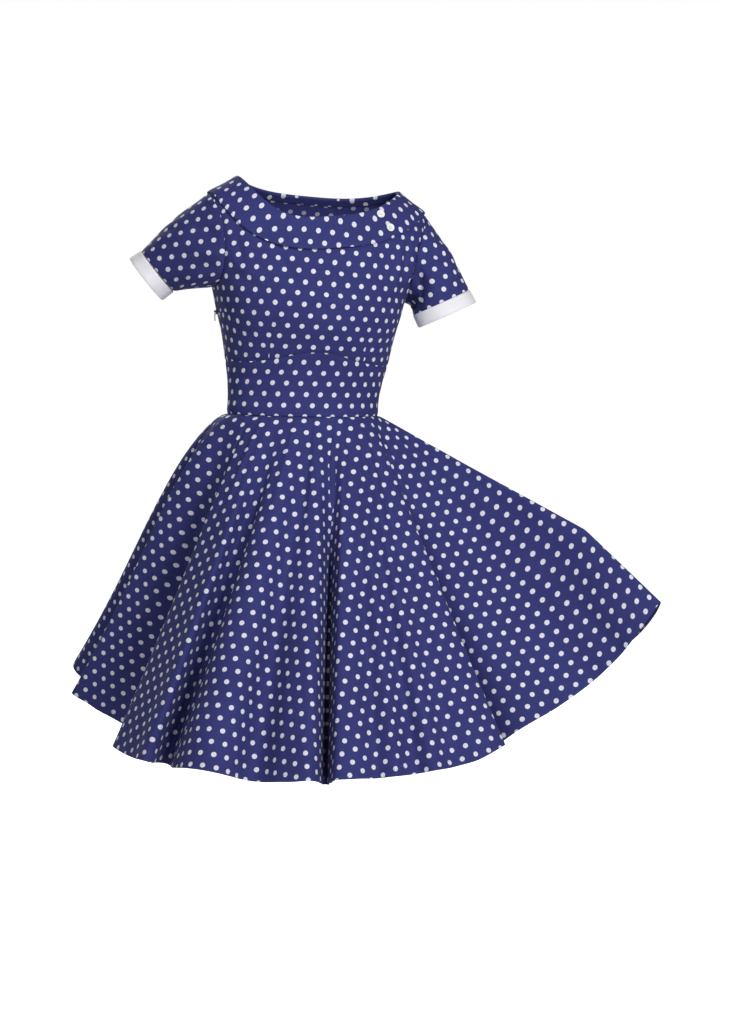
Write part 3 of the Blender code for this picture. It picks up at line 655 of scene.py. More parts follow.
def sleeve_grid(sleeve):
    """The sleeve, ring by ring from the armhole to its hem."""
    armhole = armhole_loop(sleeve["side"])
    hem = cuff_ring(sleeve, len(armhole))
    share = np.linspace(0, 1, SLEEVE_ROWS + 1)[:, None, None]
    rows = armhole * (1 - share) + hem * share
    middle = rows.mean(axis=1, keepdims=True)
    out = (rows - middle) / np.linalg.norm(rows - middle, axis=-1, keepdims=True)
    underside = (1 - np.cos(np.linspace(0, 2 * math.pi, len(armhole) + 1)[:-1, None])) / 2
    rows = rows + out * SLEEVE_FULLNESS * (1 - underside) * np.sin(math.pi * share) ** 2
    ease = UNDERARM_EASE * underside * np.sin(math.pi * share**UNDERARM_EASE_CURVE)
    rows[..., :1] += sleeve["side"] * ease
    return rows


def closed_curve(points, samples_each):
    """A smooth closed curve through points in any number of columns."""
    before, after, last = (np.roll(points, shift, axis=0) for shift in (1, -1, -2))
    t = np.linspace(0, 1, samples_each, endpoint=False)[:, None, None]
    start = 0.5 * (after - before)
    end = 0.5 * (last - points)
    curve = (
        (2 * t**3 - 3 * t**2 + 1) * points
        + (t**3 - 2 * t**2 + t) * start
        + (3 * t**2 - 2 * t**3) * after
        + (t**3 - t**2) * end
    )
    return np.swapaxes(curve, 0, 1).reshape(-1, points.shape[1])


def lengths_along(curve):
    steps = np.linalg.norm(np.diff(curve[:, :2], axis=0), axis=1)
    return np.concatenate([[0], np.cumsum(steps)])


def evenly(curve, spans):
    run = lengths_along(curve)
    at = np.linspace(0, run[-1], spans + 1)
    return np.stack([np.interp(at, run, column) for column in curve.T], axis=-1)


SKIRT_SPANS = 520
SKIRT_ROWS = 64
SKIRT_ROW_SPACING = 1.15
WAIST_SAMPLES = 240
SEAM_HALF_GAP = 0.00010


def hem_half(face):
    """Evenly spaced rows of the hem table's smooth curve, for the front or the back skirt."""
    each = HEM_SAMPLES_EACH
    curve = closed_curve(np.array(HEM_FRONT + HEM_BACK), each)
    curve = np.roll(curve, each // 2, axis=0)
    curve = np.concatenate([curve, curve[:1]])
    run = lengths_along(curve)
    from_corner = np.abs(run - run[each // 2])
    from_corner = np.minimum(from_corner, run[-1] - from_corner)
    curve = np.concatenate([curve, from_corner[:, None]], axis=1)
    parting = len(HEM_FRONT) * each
    half = curve[: parting + 1] if face == "front" else curve[parting:]
    return evenly(half, SKIRT_SPANS)


def waist_half(face):
    angles = np.linspace(0, math.pi, WAIST_SAMPLES)
    x = trunk("half_width", WAIST_Z) * np.cos(angles)
    if face == "back":
        x = x[::-1]
    y = trunk_depth(x, WAIST_Z, face) * (-1 if face == "front" else 1)
    y[[0, -1]] = 0
    return evenly(np.stack([x, y, np.full_like(x, WAIST_Z)], axis=-1), SKIRT_SPANS)


def turned_about_z(points, angle):
    cos, sin = math.cos(angle), math.sin(angle)
    x, y = points[..., 0], points[..., 1]
    return np.stack([x * cos - y * sin, x * sin + y * cos], axis=-1)


def skirt_grid(face):
    """The skirt panel, row by row from the waist seam to the hem."""
    waist_upright = waist_half(face)
    out, _ = trunk_normals(waist_upright)
    out[:, 2] = 0
    out = unit(out)
    waist = leaned(waist_upright)
    waist[:, 2] -= 2 * SEAM_HALF_GAP
    row = dict(zip(HEM_COLUMNS + ("from_corner",), hem_half(face).T))
    plan = turned_about_z(np.stack([row["x"], row["y"]], axis=-1), SKIRT_TURN)
    spread = np.linalg.norm(plan - waist[:, :2], axis=-1)
    drop = np.sqrt(row["length"] ** 2 - spread**2)
    hem = np.concatenate([plan, (waist[:, 2] - drop)[:, None]], axis=-1)
    share = np.linspace(0, 1, SKIRT_ROWS + 1)[:, None, None] ** SKIRT_ROW_SPACING
    rows = waist + (hem - waist) * share
    hip_shape = np.sin(math.pi * share**HIP_CURVE) * (1 - share)
    hip_peak = np.sin(math.pi * HIP_PEAK**HIP_CURVE) * (1 - HIP_PEAK)
    rows = rows + out * row["hip"][:, None] * hip_shape / hip_peak
    rise = np.where(share < PINCH_PLACE, share / PINCH_PLACE, (1 - share) / (1 - PINCH_PLACE))
    near = np.exp(-((row["from_corner"] / PINCH_REACH) ** 2))[:, None]
    rows[..., 2:] += PINCH_LIFT * rise * near
    return rows


# ---------------------------------------------------------------------------------------
# Cloth: flat coordinates, creases, seams and thickness
# ---------------------------------------------------------------------------------------


def run_over(grid, axis):
    """Distance over the cloth from the grid's first row or column."""
    steps = np.linalg.norm(np.diff(grid, axis=axis), axis=-1)
    start = np.zeros_like(steps[:1] if axis == 0 else steps[:, :1])
    return np.concatenate([start, np.cumsum(steps, axis=axis)], axis=axis)


def trunk_uv(grid, level_row):
    """Flat coordinates of a panel: across from its middle, and up from a level row's height."""
    across = run_over(grid, 1)
    across = across - across[:, grid.shape[1] // 2][:, None]
    sample = grid[:, grid.shape[1] // 4]
    run = run_over(sample[:, None], 0)[:, 0]
    gained = run - run[level_row] - (sample[:, 2] - sample[level_row, 2])
    up = grid[..., 2] + np.interp(grid[..., 2], sample[:, 2], gained)
    return np.stack([across, up], axis=-1)


DART_COLUMNS = ("across", "seam", "tip", "intake")
UNDER_BUST_DARTS = (
    (-0.092, -0.312, -0.246, 0.013),
    (0.090, -0.312, -0.248, 0.013),
)
SIDE_DART_LEVEL = -0.238
SIDE_DART_TIP = 0.148
SIDE_DART_MOUTH = 0.215
SIDE_DART_INTAKE = 0.012


def darted(uv):
    """The flat coordinates with the cloth that each dart takes up left out of the print."""
    across, up = uv[..., 0].copy(), uv[..., 1].copy()
    for row in UNDER_BUST_DARTS:
        dart = dict(zip(DART_COLUMNS, row))
        open_share = np.clip((dart["tip"] - uv[..., 1]) / (dart["tip"] - dart["seam"]), 0, 1)
        beyond = np.where(uv[..., 0] * np.sign(dart["across"]) > abs(dart["across"]), 1, 0)
        across += np.sign(dart["across"]) * dart["intake"] * open_share * beyond
    reach = (np.abs(uv[..., 0]) - SIDE_DART_TIP) / (SIDE_DART_MOUTH - SIDE_DART_TIP)
    under = np.where(uv[..., 1] < SIDE_DART_LEVEL, 1, 0)
    up -= SIDE_DART_INTAKE * np.clip(reach, 0, 1) * under
    return np.stack([across, up], axis=-1)


def sleeve_uv(grid, sleeve):
    """The sleeve unrolled from its front, square to the cuff, with its seam at the back."""
    axis, up, front = cuff_frame(sleeve)
    ring = np.concatenate([grid, grid[:, :1]], axis=1) - np.array(sleeve["centre"])
    rise, ahead = ring @ up, ring @ front
    angle = np.unwrap(np.arctan2(rise, ahead), axis=1)
    steps = np.hypot(np.diff(rise, axis=1), np.diff(ahead, axis=1))
    around = np.concatenate([np.zeros((len(ring), 1)), np.cumsum(steps, axis=1)], axis=1)
    way = 1 if angle[-1, -1] > angle[-1, 0] else -1
    whole_turn = 2 * math.pi
    for row, turned in enumerate(angle):
        at_front = whole_turn * round((turned[0] + turned[-1]) / 2 / whole_turn)
        around[row] -= np.interp(way * at_front, way * turned, around[row])
    return np.stack([way * around, -ring @ axis], axis=-1)


def sleeve_place(grid):
    """Distance round from the top of the arm, front positive, and from the armhole."""
    ring = np.concatenate([grid, grid[:, :1]], axis=1)
    round_arm = run_over(ring, 1)
    whole = round_arm[:, -1:]
    round_arm = np.where(round_arm > whole / 2, round_arm - whole, round_arm)
    return np.stack([round_arm, -run_over(ring, 0)], axis=-1)[:, :-1]


def skirt_uv(grid, face):
    """The panel laid flat as its part of a ring, and its distances along the hem and down."""
    down = run_over(grid, 0)
    along = run_over(grid, 1)[-1]
    angle = FLAT_START[face] - along / FLAT_HEM_RADIUS
    radius = FLAT_WAIST_RADIUS + down
    flat = np.stack([radius * np.sin(angle), -radius * np.cos(angle)], axis=-1)
    place = np.stack([np.broadcast_to(along, down.shape), -down], axis=-1)
    return flat, place


def grid_normals(grid, closed=False):
    if closed:
        across = np.roll(grid, -1, axis=1) - np.roll(grid, 1, axis=1)
    else:
        across = np.gradient(grid, axis=1)
    return unit(np.cross(across, np.gradient(grid, axis=0)))


CREASE_END = 0.04
CREASE_FADE = 0.6
FAR_FROM_SEAMS = 1.0


def crease_heights(place, creases):
    """How far each place is raised by the creases, with soft ends and sides."""
    raised = np.zeros(place.shape[:-1])
    for row in creases:
        crease = dict(zip(CREASE_COLUMNS, row))
        start = np.array([crease["across_1"], crease["up_1"]])
        way = np.array([crease["across_2"], crease["up_2"]]) - start
        t = np.clip((place - start) @ way / (way @ way), 0, 1)
        off = np.linalg.norm(place - start - t[..., None] * way, axis=-1)
        fade = np.sin(math.pi * np.clip(t, CREASE_END, 1 - CREASE_END)) ** CREASE_FADE
        raised += crease["depth"] * fade * np.exp(-((off / crease["width"]) ** 2))
    return raised


def seam_dips(grid, edges):
    """How far the cloth dips beside its sewn edges."""
    sewing = bpy.context.scene.dress_sewing
    near = np.full(grid.shape[:2], FAR_FROM_SEAMS)
    rows = run_over(grid, 0)
    if "first_row" in edges:
        near = np.minimum(near, rows)
    if "last_row" in edges:
        near = np.minimum(near, rows[-1:] - rows)
    if "sides" in edges:
        columns = run_over(grid, 1)
        near = np.minimum(near, np.minimum(columns, columns[:, -1:] - columns))
    return -sewing.seam_depth * np.exp(-((near / sewing.seam_width) ** 2))


def shaped(grid, heights, closed=False):
    return grid + grid_normals(grid, closed) * heights[..., None]


def cloth_mesh(name, grid, uv, thickness, materials, closed=False):
    """A shell of cloth from its outer face's points, with a face and a wrong side."""
    rows, spans = grid.shape[:2]
    columns = spans if closed else spans - 1
    low = np.arange(rows - 1)[:, None] * spans
    span = np.arange(columns)[None, :]
    beside = (span + 1) % spans
    faces = np.stack([low + span, low + beside, low + spans + beside, low + spans + span], -1)
    mesh = bpy.data.meshes.new(name)
    mesh.from_pydata(grid.reshape(-1, 3).tolist(), [], faces.reshape(-1, 4).tolist())
    for material in materials:
        mesh.materials.append(material)
    corner_uv = np.stack([uv[:-1, :-1], uv[:-1, 1:], uv[1:, 1:], uv[1:, :-1]], axis=2)
    corner_uv = corner_uv[:, :columns].reshape(-1, 2)
    layer = mesh.uv_layers.new(name="Flat cloth")
    layer.data.foreach_set("uv", corner_uv.astype(np.float32).ravel())
    mesh.shade_smooth()
    piece = bpy.data.objects.new(name, mesh)
    bpy.context.scene.collection.objects.link(piece)
    wall = piece.modifiers.new("Cloth thickness", "SOLIDIFY")
    wall.thickness = thickness
    wall.offset = -1
    wall.material_offset = 1
    return plain(piece)


SHARP_ANGLE = math.radians(50)


def plain(piece):
    """The object with its modifiers worked into its mesh."""
    name = piece.name
    evaluated = piece.evaluated_get(bpy.context.evaluated_depsgraph_get())
    mesh = bpy.data.meshes.new_from_object(evaluated)
    for polygon in mesh.polygons:
        polygon.use_smooth = True
    mesh.set_sharp_from_angle(angle=SHARP_ANGLE)
    old = piece.data
    piece.modifiers.clear()
    piece.data = mesh
    bpy.data.meshes.remove(old)
    mesh.name = name
    return piece


def worn(piece, node=None):
    """The piece rides with the dress and may stand for a solid of it."""
    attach(piece, BODY)
    if node:
        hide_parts(node)
    return piece


# ---------------------------------------------------------------------------------------
# Materials
# ---------------------------------------------------------------------------------------


class Shader:
    """A small helper that adds nodes to a material and links them."""

    def __init__(self, name):
        self.material = bpy.data.materials.new(name)
        self.material.use_nodes = True
        self.nodes = self.material.node_tree.nodes
        self.links = self.material.node_tree.links
        self.surface = self.nodes["Principled BSDF"]

    def add(self, kind, inputs=(), output=0, **settings):
        node = self.nodes.new(kind)
        for key, value in settings.items():
            setattr(node, key, value)
        for place, value in enumerate(inputs):
            self.feed(node.inputs[place], value)
        return node.outputs[output]

    def feed(self, socket, value):
        if value is None:
            return
        if isinstance(value, bpy.types.NodeSocket):
            self.links.new(value, socket)
        else:
            socket.default_value = value

    def maths(self, operation, *inputs):
        return self.add("ShaderNodeMath", inputs, operation=operation)

    def vector(self, operation, *inputs, output=0):
        return self.add("ShaderNodeVectorMath", inputs, output, operation=operation)

    def spread(self, value, low, high, to_low=0.0, to_high=1.0):
        node = self.nodes.new("ShaderNodeMapRange")
        node.interpolation_type = "SMOOTHSTEP"
        for socket, number in zip(node.inputs, (value, low, high, to_low, to_high)):
            self.feed(socket, number)
        return node.outputs["Result"]

    def mixed(self, share, first, second):
        node = self.nodes.new("ShaderNodeMix")
        node.data_type = "RGBA"
        self.feed(node.inputs["Factor"], share)
        self.feed(node.inputs[6], first)
        self.feed(node.inputs[7], second)
        return node.outputs[2]

    def noise(self, coordinates, scale, detail=2.0):
        node = self.nodes.new("ShaderNodeTexNoise")
        self.feed(node.inputs["Vector"], coordinates)
        node.inputs["Scale"].default_value = scale
        node.inputs["Detail"].default_value = detail
        return node.outputs["Fac"]

    def bump(self, height, distance, strength=1.0, under=None):
        node = self.nodes.new("ShaderNodeBump")
        node.inputs["Distance"].default_value = distance
        node.inputs["Strength"].default_value = strength
        self.feed(node.inputs["Height"], height)
        self.feed(node.inputs["Normal"], under)
        return node.outputs["Normal"]

    def set(self, **values):
        for name, value in values.items():
            self.feed(self.surface.inputs[name.replace("_", " ")], value)


def toned(colour, share):
    """A colour made darker or lighter by a share, with its alpha kept at 1."""
    return tuple(min(1, channel * share) for channel in colour[:3]) + (1,)


def flat_cloth(shader):
    node = shader.nodes.new("ShaderNodeUVMap")
    node.uv_map = "Flat cloth"
    return node.outputs["UV"]


def woven(shader, flat, pitch):
    """The height of a plain weave: warp and weft threads that pass over and under."""
    waves = shader.vector("SCALE", flat)
    waves.node.inputs["Scale"].default_value = math.pi / pitch
    parts = shader.nodes.new("ShaderNodeSeparateXYZ")
    shader.feed(parts.inputs[0], waves)
    warp = shader.maths("SINE", parts.outputs["X"])
    weft = shader.maths("SINE", parts.outputs["Y"])
    return shader.maths("MULTIPLY", warp, weft)


DOT_FRAY_SCALE = 1100.0
DOT_FRAY = 0.0004
DOT_EDGE = 0.00025


def dot_share(shader, flat, settings):
    """1 on a dot and 0 between dots, for staggered rows of round dots."""
    cell = (settings.dots_apart, 2 * settings.rows_apart, 1)
    per_cell = tuple(1 / size for size in cell)
    distances = []
    for start in ((0, 0, 0), (0.5, 0.5, 0)):
        placed = shader.vector("MULTIPLY", flat, per_cell)
        placed = shader.vector("ADD", placed, start)
        placed = shader.vector("FRACTION", placed)
        placed = shader.vector("SUBTRACT", placed, (0.5, 0.5, 0))
        placed = shader.vector("MULTIPLY", placed, (cell[0], cell[1], 0))
        distances.append(shader.vector("LENGTH", placed, output="Value"))
    nearest = shader.maths("MINIMUM", *distances)
    fray = shader.noise(flat, DOT_FRAY_SCALE, 1.0)
    nearest = shader.maths("MULTIPLY_ADD", fray, DOT_FRAY, nearest)
    edge = settings.dot_radius + DOT_FRAY / 2
    return shader.spread(nearest, edge + DOT_EDGE, edge - DOT_EDGE)


# Unevenness of the dye: size, darkest and lightest share, and how soft their border is
DYE_SCALE = 9.0
DYE_SHARES = (0.95, 1.04)
DYE_BORDER = (0.35, 0.65)
SLUB_SCALE = 700.0
# Painted shade and light of the weave: colour darker where the weave and slubs are low and
# lighter where they are high; range of their height, and the share of the colour at its ends
PAINTED_SHADING_HEIGHTS = (-0.4, 1.4)
PAINTED_SHADING_SHARES = (0.80, 1.06)
# Bumps: depth and strength of the soft crumple and of the weave
CRUMPLE_SCALE = 38.0
CRUMPLE_BUMP = (0.0009, 0.35)
WEAVE_BUMP = (0.00012, 0.45)
WRONG_SIDE_DOTS = 0.45
COTTON_ROUGHNESS = 0.82
COTTON_SHEEN = 0.04
COTTON_SHEEN_ROUGHNESS = 0.4
COTTON_SPECULAR = 0.16


def cotton(name, ground, dot=None, wrong_side=False):
    """Plain-weave cotton, with painted shade in the hollows of its weave; a print's dots are
    fainter on the wrong side.
    """
    settings = bpy.context.scene.dress_cloth
    shader = Shader(name)
    flat = flat_cloth(shader)
    weave = woven(shader, flat, settings.thread_pitch)
    dye = shader.noise(flat, DYE_SCALE, 3.0)
    slubs = shader.noise(flat, SLUB_SCALE, 2.0)
    dark, light = (toned(ground, share) for share in DYE_SHARES)
    colour = shader.mixed(shader.spread(dye, *DYE_BORDER), dark, light)
    if dot is not None:
        share = dot_share(shader, flat, settings)
        if wrong_side:
            share = shader.maths("MULTIPLY", share, WRONG_SIDE_DOTS)
        colour = shader.mixed(share, colour, dot)
    height = shader.maths("ADD", weave, slubs)
    # Painted shade in the low places of the weave and slubs, and painted light on the high ones
    threads = shader.spread(height, *PAINTED_SHADING_HEIGHTS, *PAINTED_SHADING_SHARES)
    painted_shading = shader.nodes.new("ShaderNodeCombineXYZ")
    for socket in painted_shading.inputs:
        shader.feed(socket, threads)
    colour = shader.vector("MULTIPLY", colour, painted_shading.outputs[0])
    soft = shader.bump(shader.noise(flat, CRUMPLE_SCALE, 2.0), *CRUMPLE_BUMP)
    fine = shader.bump(weave, *WEAVE_BUMP, soft)
    shader.set(Base_Color=colour, Normal=fine, Roughness=COTTON_ROUGHNESS)
    shader.set(Sheen_Weight=COTTON_SHEEN, Sheen_Roughness=COTTON_SHEEN_ROUGHNESS)
    shader.set(Specular_IOR_Level=COTTON_SPECULAR)
    return shader.material


def thread(name, colour, twist_scale=2600.0, shade=0.7, depth=0.00008):
    """Sewing thread, with painted shade in the hollows of its twist."""
    shader = Shader(name)
    place = shader.add("ShaderNodeTexCoord", output="Object")
    twist = shader.noise(place, twist_scale, 1.0)
    # Painted shade: the colour is darker where the twist is low
    shader.set(Base_Color=shader.mixed(twist, toned(colour, shade), colour), Roughness=0.6)
    shader.set(Normal=shader.bump(twist, depth, 0.5))
    return shader.material


def pearly(name, colour, cloud_scale=160.0, shade=0.90, depth=0.00010):
    """Polished plastic with faint clouds, like shell."""
    shader = Shader(name)
    place = shader.add("ShaderNodeTexCoord", output="Object")
    clouds = shader.noise(place, cloud_scale, 3.0)
    shader.set(Base_Color=shader.mixed(clouds, toned(colour, shade), colour), Roughness=0.22)
    shader.set(Coat_Weight=0.5, Coat_Roughness=0.12)
    shader.set(Normal=shader.bump(clouds, depth, 0.3))
    return shader.material


def enamelled(name, colour, scratch_scale=1500.0, shine=1.9, depth=0.00006):
    """Enamelled metal, worn a little brighter in fine scratches."""
    shader = Shader(name)
    place = shader.add("ShaderNodeTexCoord", output="Object")
    scratches = shader.noise(place, scratch_scale, 4.0)
    worn_share = shader.spread(scratches, 0.55, 0.75)
    colours = shader.mixed(worn_share, colour, toned(colour, shine))
    shader.set(Base_Color=colours, Metallic=0.8)
    shader.set(Roughness=shader.spread(scratches, 0.3, 0.7, 0.32, 0.52))
    shader.set(Normal=shader.bump(scratches, depth, 0.3))
    return shader.material


MATERIALS = {}
NAVY_THREAD = (0.030, 0.034, 0.120, 1)
WHITE_THREAD = (0.80, 0.80, 0.82, 1)
ENAMEL = (0.13, 0.14, 0.21, 1)
COIL = (0.05, 0.055, 0.14, 1)


def make_materials():
    settings = bpy.context.scene.dress_cloth
    navy, dot, white = (tuple(c) for c in (settings.navy, settings.dot, settings.white))
    MATERIALS["navy"] = cotton("navy_dotted_cotton", navy, dot)
    MATERIALS["navy_back"] = cotton("navy_cotton_wrong_side", navy, dot, wrong_side=True)
    MATERIALS["white"] = cotton("white_cotton_weave", white)
    MATERIALS["navy_thread"] = thread("navy_thread", NAVY_THREAD)
    MATERIALS["white_thread"] = thread("white_thread", WHITE_THREAD)
    MATERIALS["pearl"] = pearly("pearl_button", tuple(settings.pearl))
    MATERIALS["metal"] = enamelled("zip_enamel", ENAMEL)
    MATERIALS["teeth"] = enamelled("zip_coil", COIL)


# ---------------------------------------------------------------------------------------
# Repeats along a path, by Geometry Nodes
# ---------------------------------------------------------------------------------------


BAR_SEGMENTS = 8
BAR_RINGS = 4


def row_tree(material):
    """Small rounded bars set along a path: stitches, or the teeth of a zip."""
    name = "Row of " + material.name
    if name in bpy.data.node_groups:
        return bpy.data.node_groups[name]
    tree = bpy.data.node_groups.new(name, "GeometryNodeTree")
    sockets = tree.interface
    sockets.new_socket("Path", in_out="INPUT", socket_type="NodeSocketGeometry")
    sockets.new_socket("Pitch", in_out="INPUT", socket_type="NodeSocketFloat")
    sockets.new_socket("Size", in_out="INPUT", socket_type="NodeSocketVector")
    sockets.new_socket("Row", in_out="OUTPUT", socket_type="NodeSocketGeometry")
    nodes, links = tree.nodes, tree.links
    source = nodes.new("NodeGroupInput")
    curve = nodes.new("GeometryNodeMeshToCurve")
    points = nodes.new("GeometryNodeCurveToPoints")
    points.mode = "LENGTH"
    bar = nodes.new("GeometryNodeMeshUVSphere")
    bar.inputs["Segments"].default_value = BAR_SEGMENTS
    bar.inputs["Rings"].default_value = BAR_RINGS
    bar.inputs["Radius"].default_value = 0.5
    aligned = nodes.new("FunctionNodeAlignRotationToVector")
    aligned.axis = "Z"
    instances = nodes.new("GeometryNodeInstanceOnPoints")
    realize = nodes.new("GeometryNodeRealizeInstances")
    painted = nodes.new("GeometryNodeSetMaterial")
    painted.inputs["Material"].default_value = material
    result = nodes.new("NodeGroupOutput")
    links.new(source.outputs["Path"], curve.inputs["Mesh"])
    links.new(curve.outputs["Curve"], points.inputs["Curve"])
    links.new(source.outputs["Pitch"], points.inputs["Length"])
    links.new(points.outputs["Tangent"], aligned.inputs["Vector"])
    links.new(points.outputs["Points"], instances.inputs["Points"])
    links.new(bar.outputs["Mesh"], instances.inputs["Instance"])
    links.new(aligned.outputs["Rotation"], instances.inputs["Rotation"])
    links.new(source.outputs["Size"], instances.inputs["Scale"])
    links.new(instances.outputs["Instances"], realize.inputs["Geometry"])
    links.new(realize.outputs["Geometry"], painted.inputs["Geometry"])
    links.new(painted.outputs["Geometry"], result.inputs["Row"])
    return tree


def row_along(name, paths, pitch, size, material):
    """One plain mesh of bars along each path; a path is an array of points."""
    points = np.concatenate(paths)
    edges = []
    start = 0
    for path in paths:
        edges += [(start + i, start + i + 1) for i in range(len(path) - 1)]
        start += len(path)
    mesh = bpy.data.meshes.new(name)
    mesh.from_pydata(points.tolist(), edges, [])
    piece = bpy.data.objects.new(name, mesh)
    bpy.context.scene.collection.objects.link(piece)
    modifier = piece.modifiers.new("Row", "NODES")
    modifier.node_group = row_tree(material)
    values = {"Pitch": pitch, "Size": size}
    for item in modifier.node_group.interface.items_tree:
        if item.item_type == "SOCKET" and item.name in values:
            modifier[item.identifier] = values[item.name]
    return plain(piece)


def stitches(name, paths, material="navy_thread"):
    sewing = bpy.context.scene.dress_sewing
    size = (2 * sewing.thread_radius, 2 * sewing.thread_radius, sewing.stitch_length)
    row = row_along(name, paths, sewing.stitch_pitch, size, MATERIALS[material])
    return worn(row)


def over_cloth(grid, row, lift):
    """A path along one row of a panel's grid, laid this far over the cloth."""
    return (grid + grid_normals(grid) * lift)[row]


# ---------------------------------------------------------------------------------------
# Operators: one for each piece or group of like pieces
# ---------------------------------------------------------------------------------------

GRIDS = {}


class DRESS_OT_materials(bpy.types.Operator):
    """Make the cloths, threads, button and zip finishes"""

    bl_idname = "dress.materials"
    bl_label = "Materials"

    def execute(self, context):
        make_materials()
        return {"FINISHED"}


def printed_panel(name, grid, uv, closed=False):
    """A panel of the printed cotton, which hangs from its seams and stands for its solid."""
    thickness = bpy.context.scene.dress_cloth.cloth_thickness
    materials = (MATERIALS["navy"], MATERIALS["navy_back"])
    piece = cloth_mesh(name + "_cloth", grid, uv, thickness, materials, closed)
    worn(piece, name)


SHOULDER_HALF_GAP = 0.0001
SIDE_HALF_GAP = 0.0001
ARMHOLE_HALF_GAP = 0.0001


def drawn(edge, inner, amount):
    return edge + amount * unit(inner - edge)


def pulled_apart(grid, kind):
    """The grid with its edges drawn in over the cloth, to leave a gap at each seam."""
    grid = grid.copy()
    side = np.full(len(grid), SIDE_HALF_GAP)
    top = SEAM_HALF_GAP
    if kind == "bodice":
        side[SIDE_ROWS:] = ARMHOLE_HALF_GAP
        top = SHOULDER_HALF_GAP
    grid[0] = drawn(grid[0], grid[1], SEAM_HALF_GAP)
    grid[-1] = drawn(grid[-1], grid[-2], top)
    grid[:, 0] = drawn(grid[:, 0], grid[:, 1], side[:, None])
    grid[:, -1] = drawn(grid[:, -1], grid[:, -2], side[:, None])
    return grid


def trunk_panels(kind, upright_grid, level_row, seams, creases):
    """The front and back panels of the bodice or the midriff."""
    for face in ("front", "back"):
        name = kind + "_" + face
        upright = upright_grid(face)
        uv = trunk_uv(upright, level_row)
        grid = pulled_apart(leaned(upright), kind)
        heights = crease_heights(uv, creases[face]) + seam_dips(grid, seams)
        if kind == "bodice":
            uv = darted(uv)
        if face == "back":
            grid, uv, heights = grid[:, ::-1], uv[:, ::-1], heights[:, ::-1]
        GRIDS[name] = shaped(grid, heights)
        printed_panel(name, GRIDS[name], uv)


class DRESS_OT_bodice(bpy.types.Operator):
    """Make the front and back bodice, with darts and drag lines"""

    bl_idname = "dress.bodice"
    bl_label = "Bodice"

    def execute(self, context):
        creases = {"front": BODICE_FRONT_CREASES, "back": BODICE_BACK_CREASES}
        trunk_panels("bodice", bodice_grid, SIDE_ROWS, ("first_row", "sides"), creases)
        return {"FINISHED"}


class DRESS_OT_midriff(bpy.types.Operator):
    """Make the two midriff bands between the bodice and the waist seam"""

    bl_idname = "dress.midriff"
    bl_label = "Midriff"

    def execute(self, context):
        creases = {"front": MIDRIFF_FRONT_CREASES, "back": MIDRIFF_BACK_CREASES}
        seams = ("first_row", "last_row", "sides")
        trunk_panels("midriff", midriff_grid, 0, seams, creases)
        return {"FINISHED"}


class DRESS_OT_collar(bpy.types.Operator):
    """Make the wide collar that rolls over at the boat neck"""

    bl_idname = "dress.collar"
    bl_label = "Collar"

    def execute(self, context):
        thickness = context.scene.dress_cloth.collar_thickness
        upright = collar_grid(thickness)
        closed = np.concatenate([upright, upright[:, :1]], axis=1)
        uv = collar_uv(closed)
        uv = uv - uv[COLLAR_ROWS // 2, COLLAR_SPANS // 4]
        materials = (MATERIALS["navy"], MATERIALS["navy"])
        grid = leaned(upright)
        piece = cloth_mesh("collar_cloth", grid, uv, thickness, materials, closed=True)
        worn(piece, "collar")
        return {"FINISHED"}


CUFF_SPANS = 160
# From the sleeve's hem to the cuff's: distance along the arm, and how far it stands off
CUFF_PROFILE = (
    (0.0010, -0.0006),
    (0.0016, 0.0002),
    (0.0030, 0.0006),
    (0.0080, 0.0008),
    (0.0140, 0.0010),
    (0.0200, 0.0013),
    (0.0240, 0.0013),
    (0.0254, 0.0009),
    (0.0260, 0.0001),
)
# Unevenness of a cuff's hem: waves round the arm, height, and phase
CUFF_WAVES = (
    (3, 0.0010, 0.7),
    (7, 0.0006, 2.0),
)


def outward_turn(sleeve):
    """The order of a sleeve's rings in which its faces point outwards."""
    return 1 if sleeve["side"] > 0 else -1


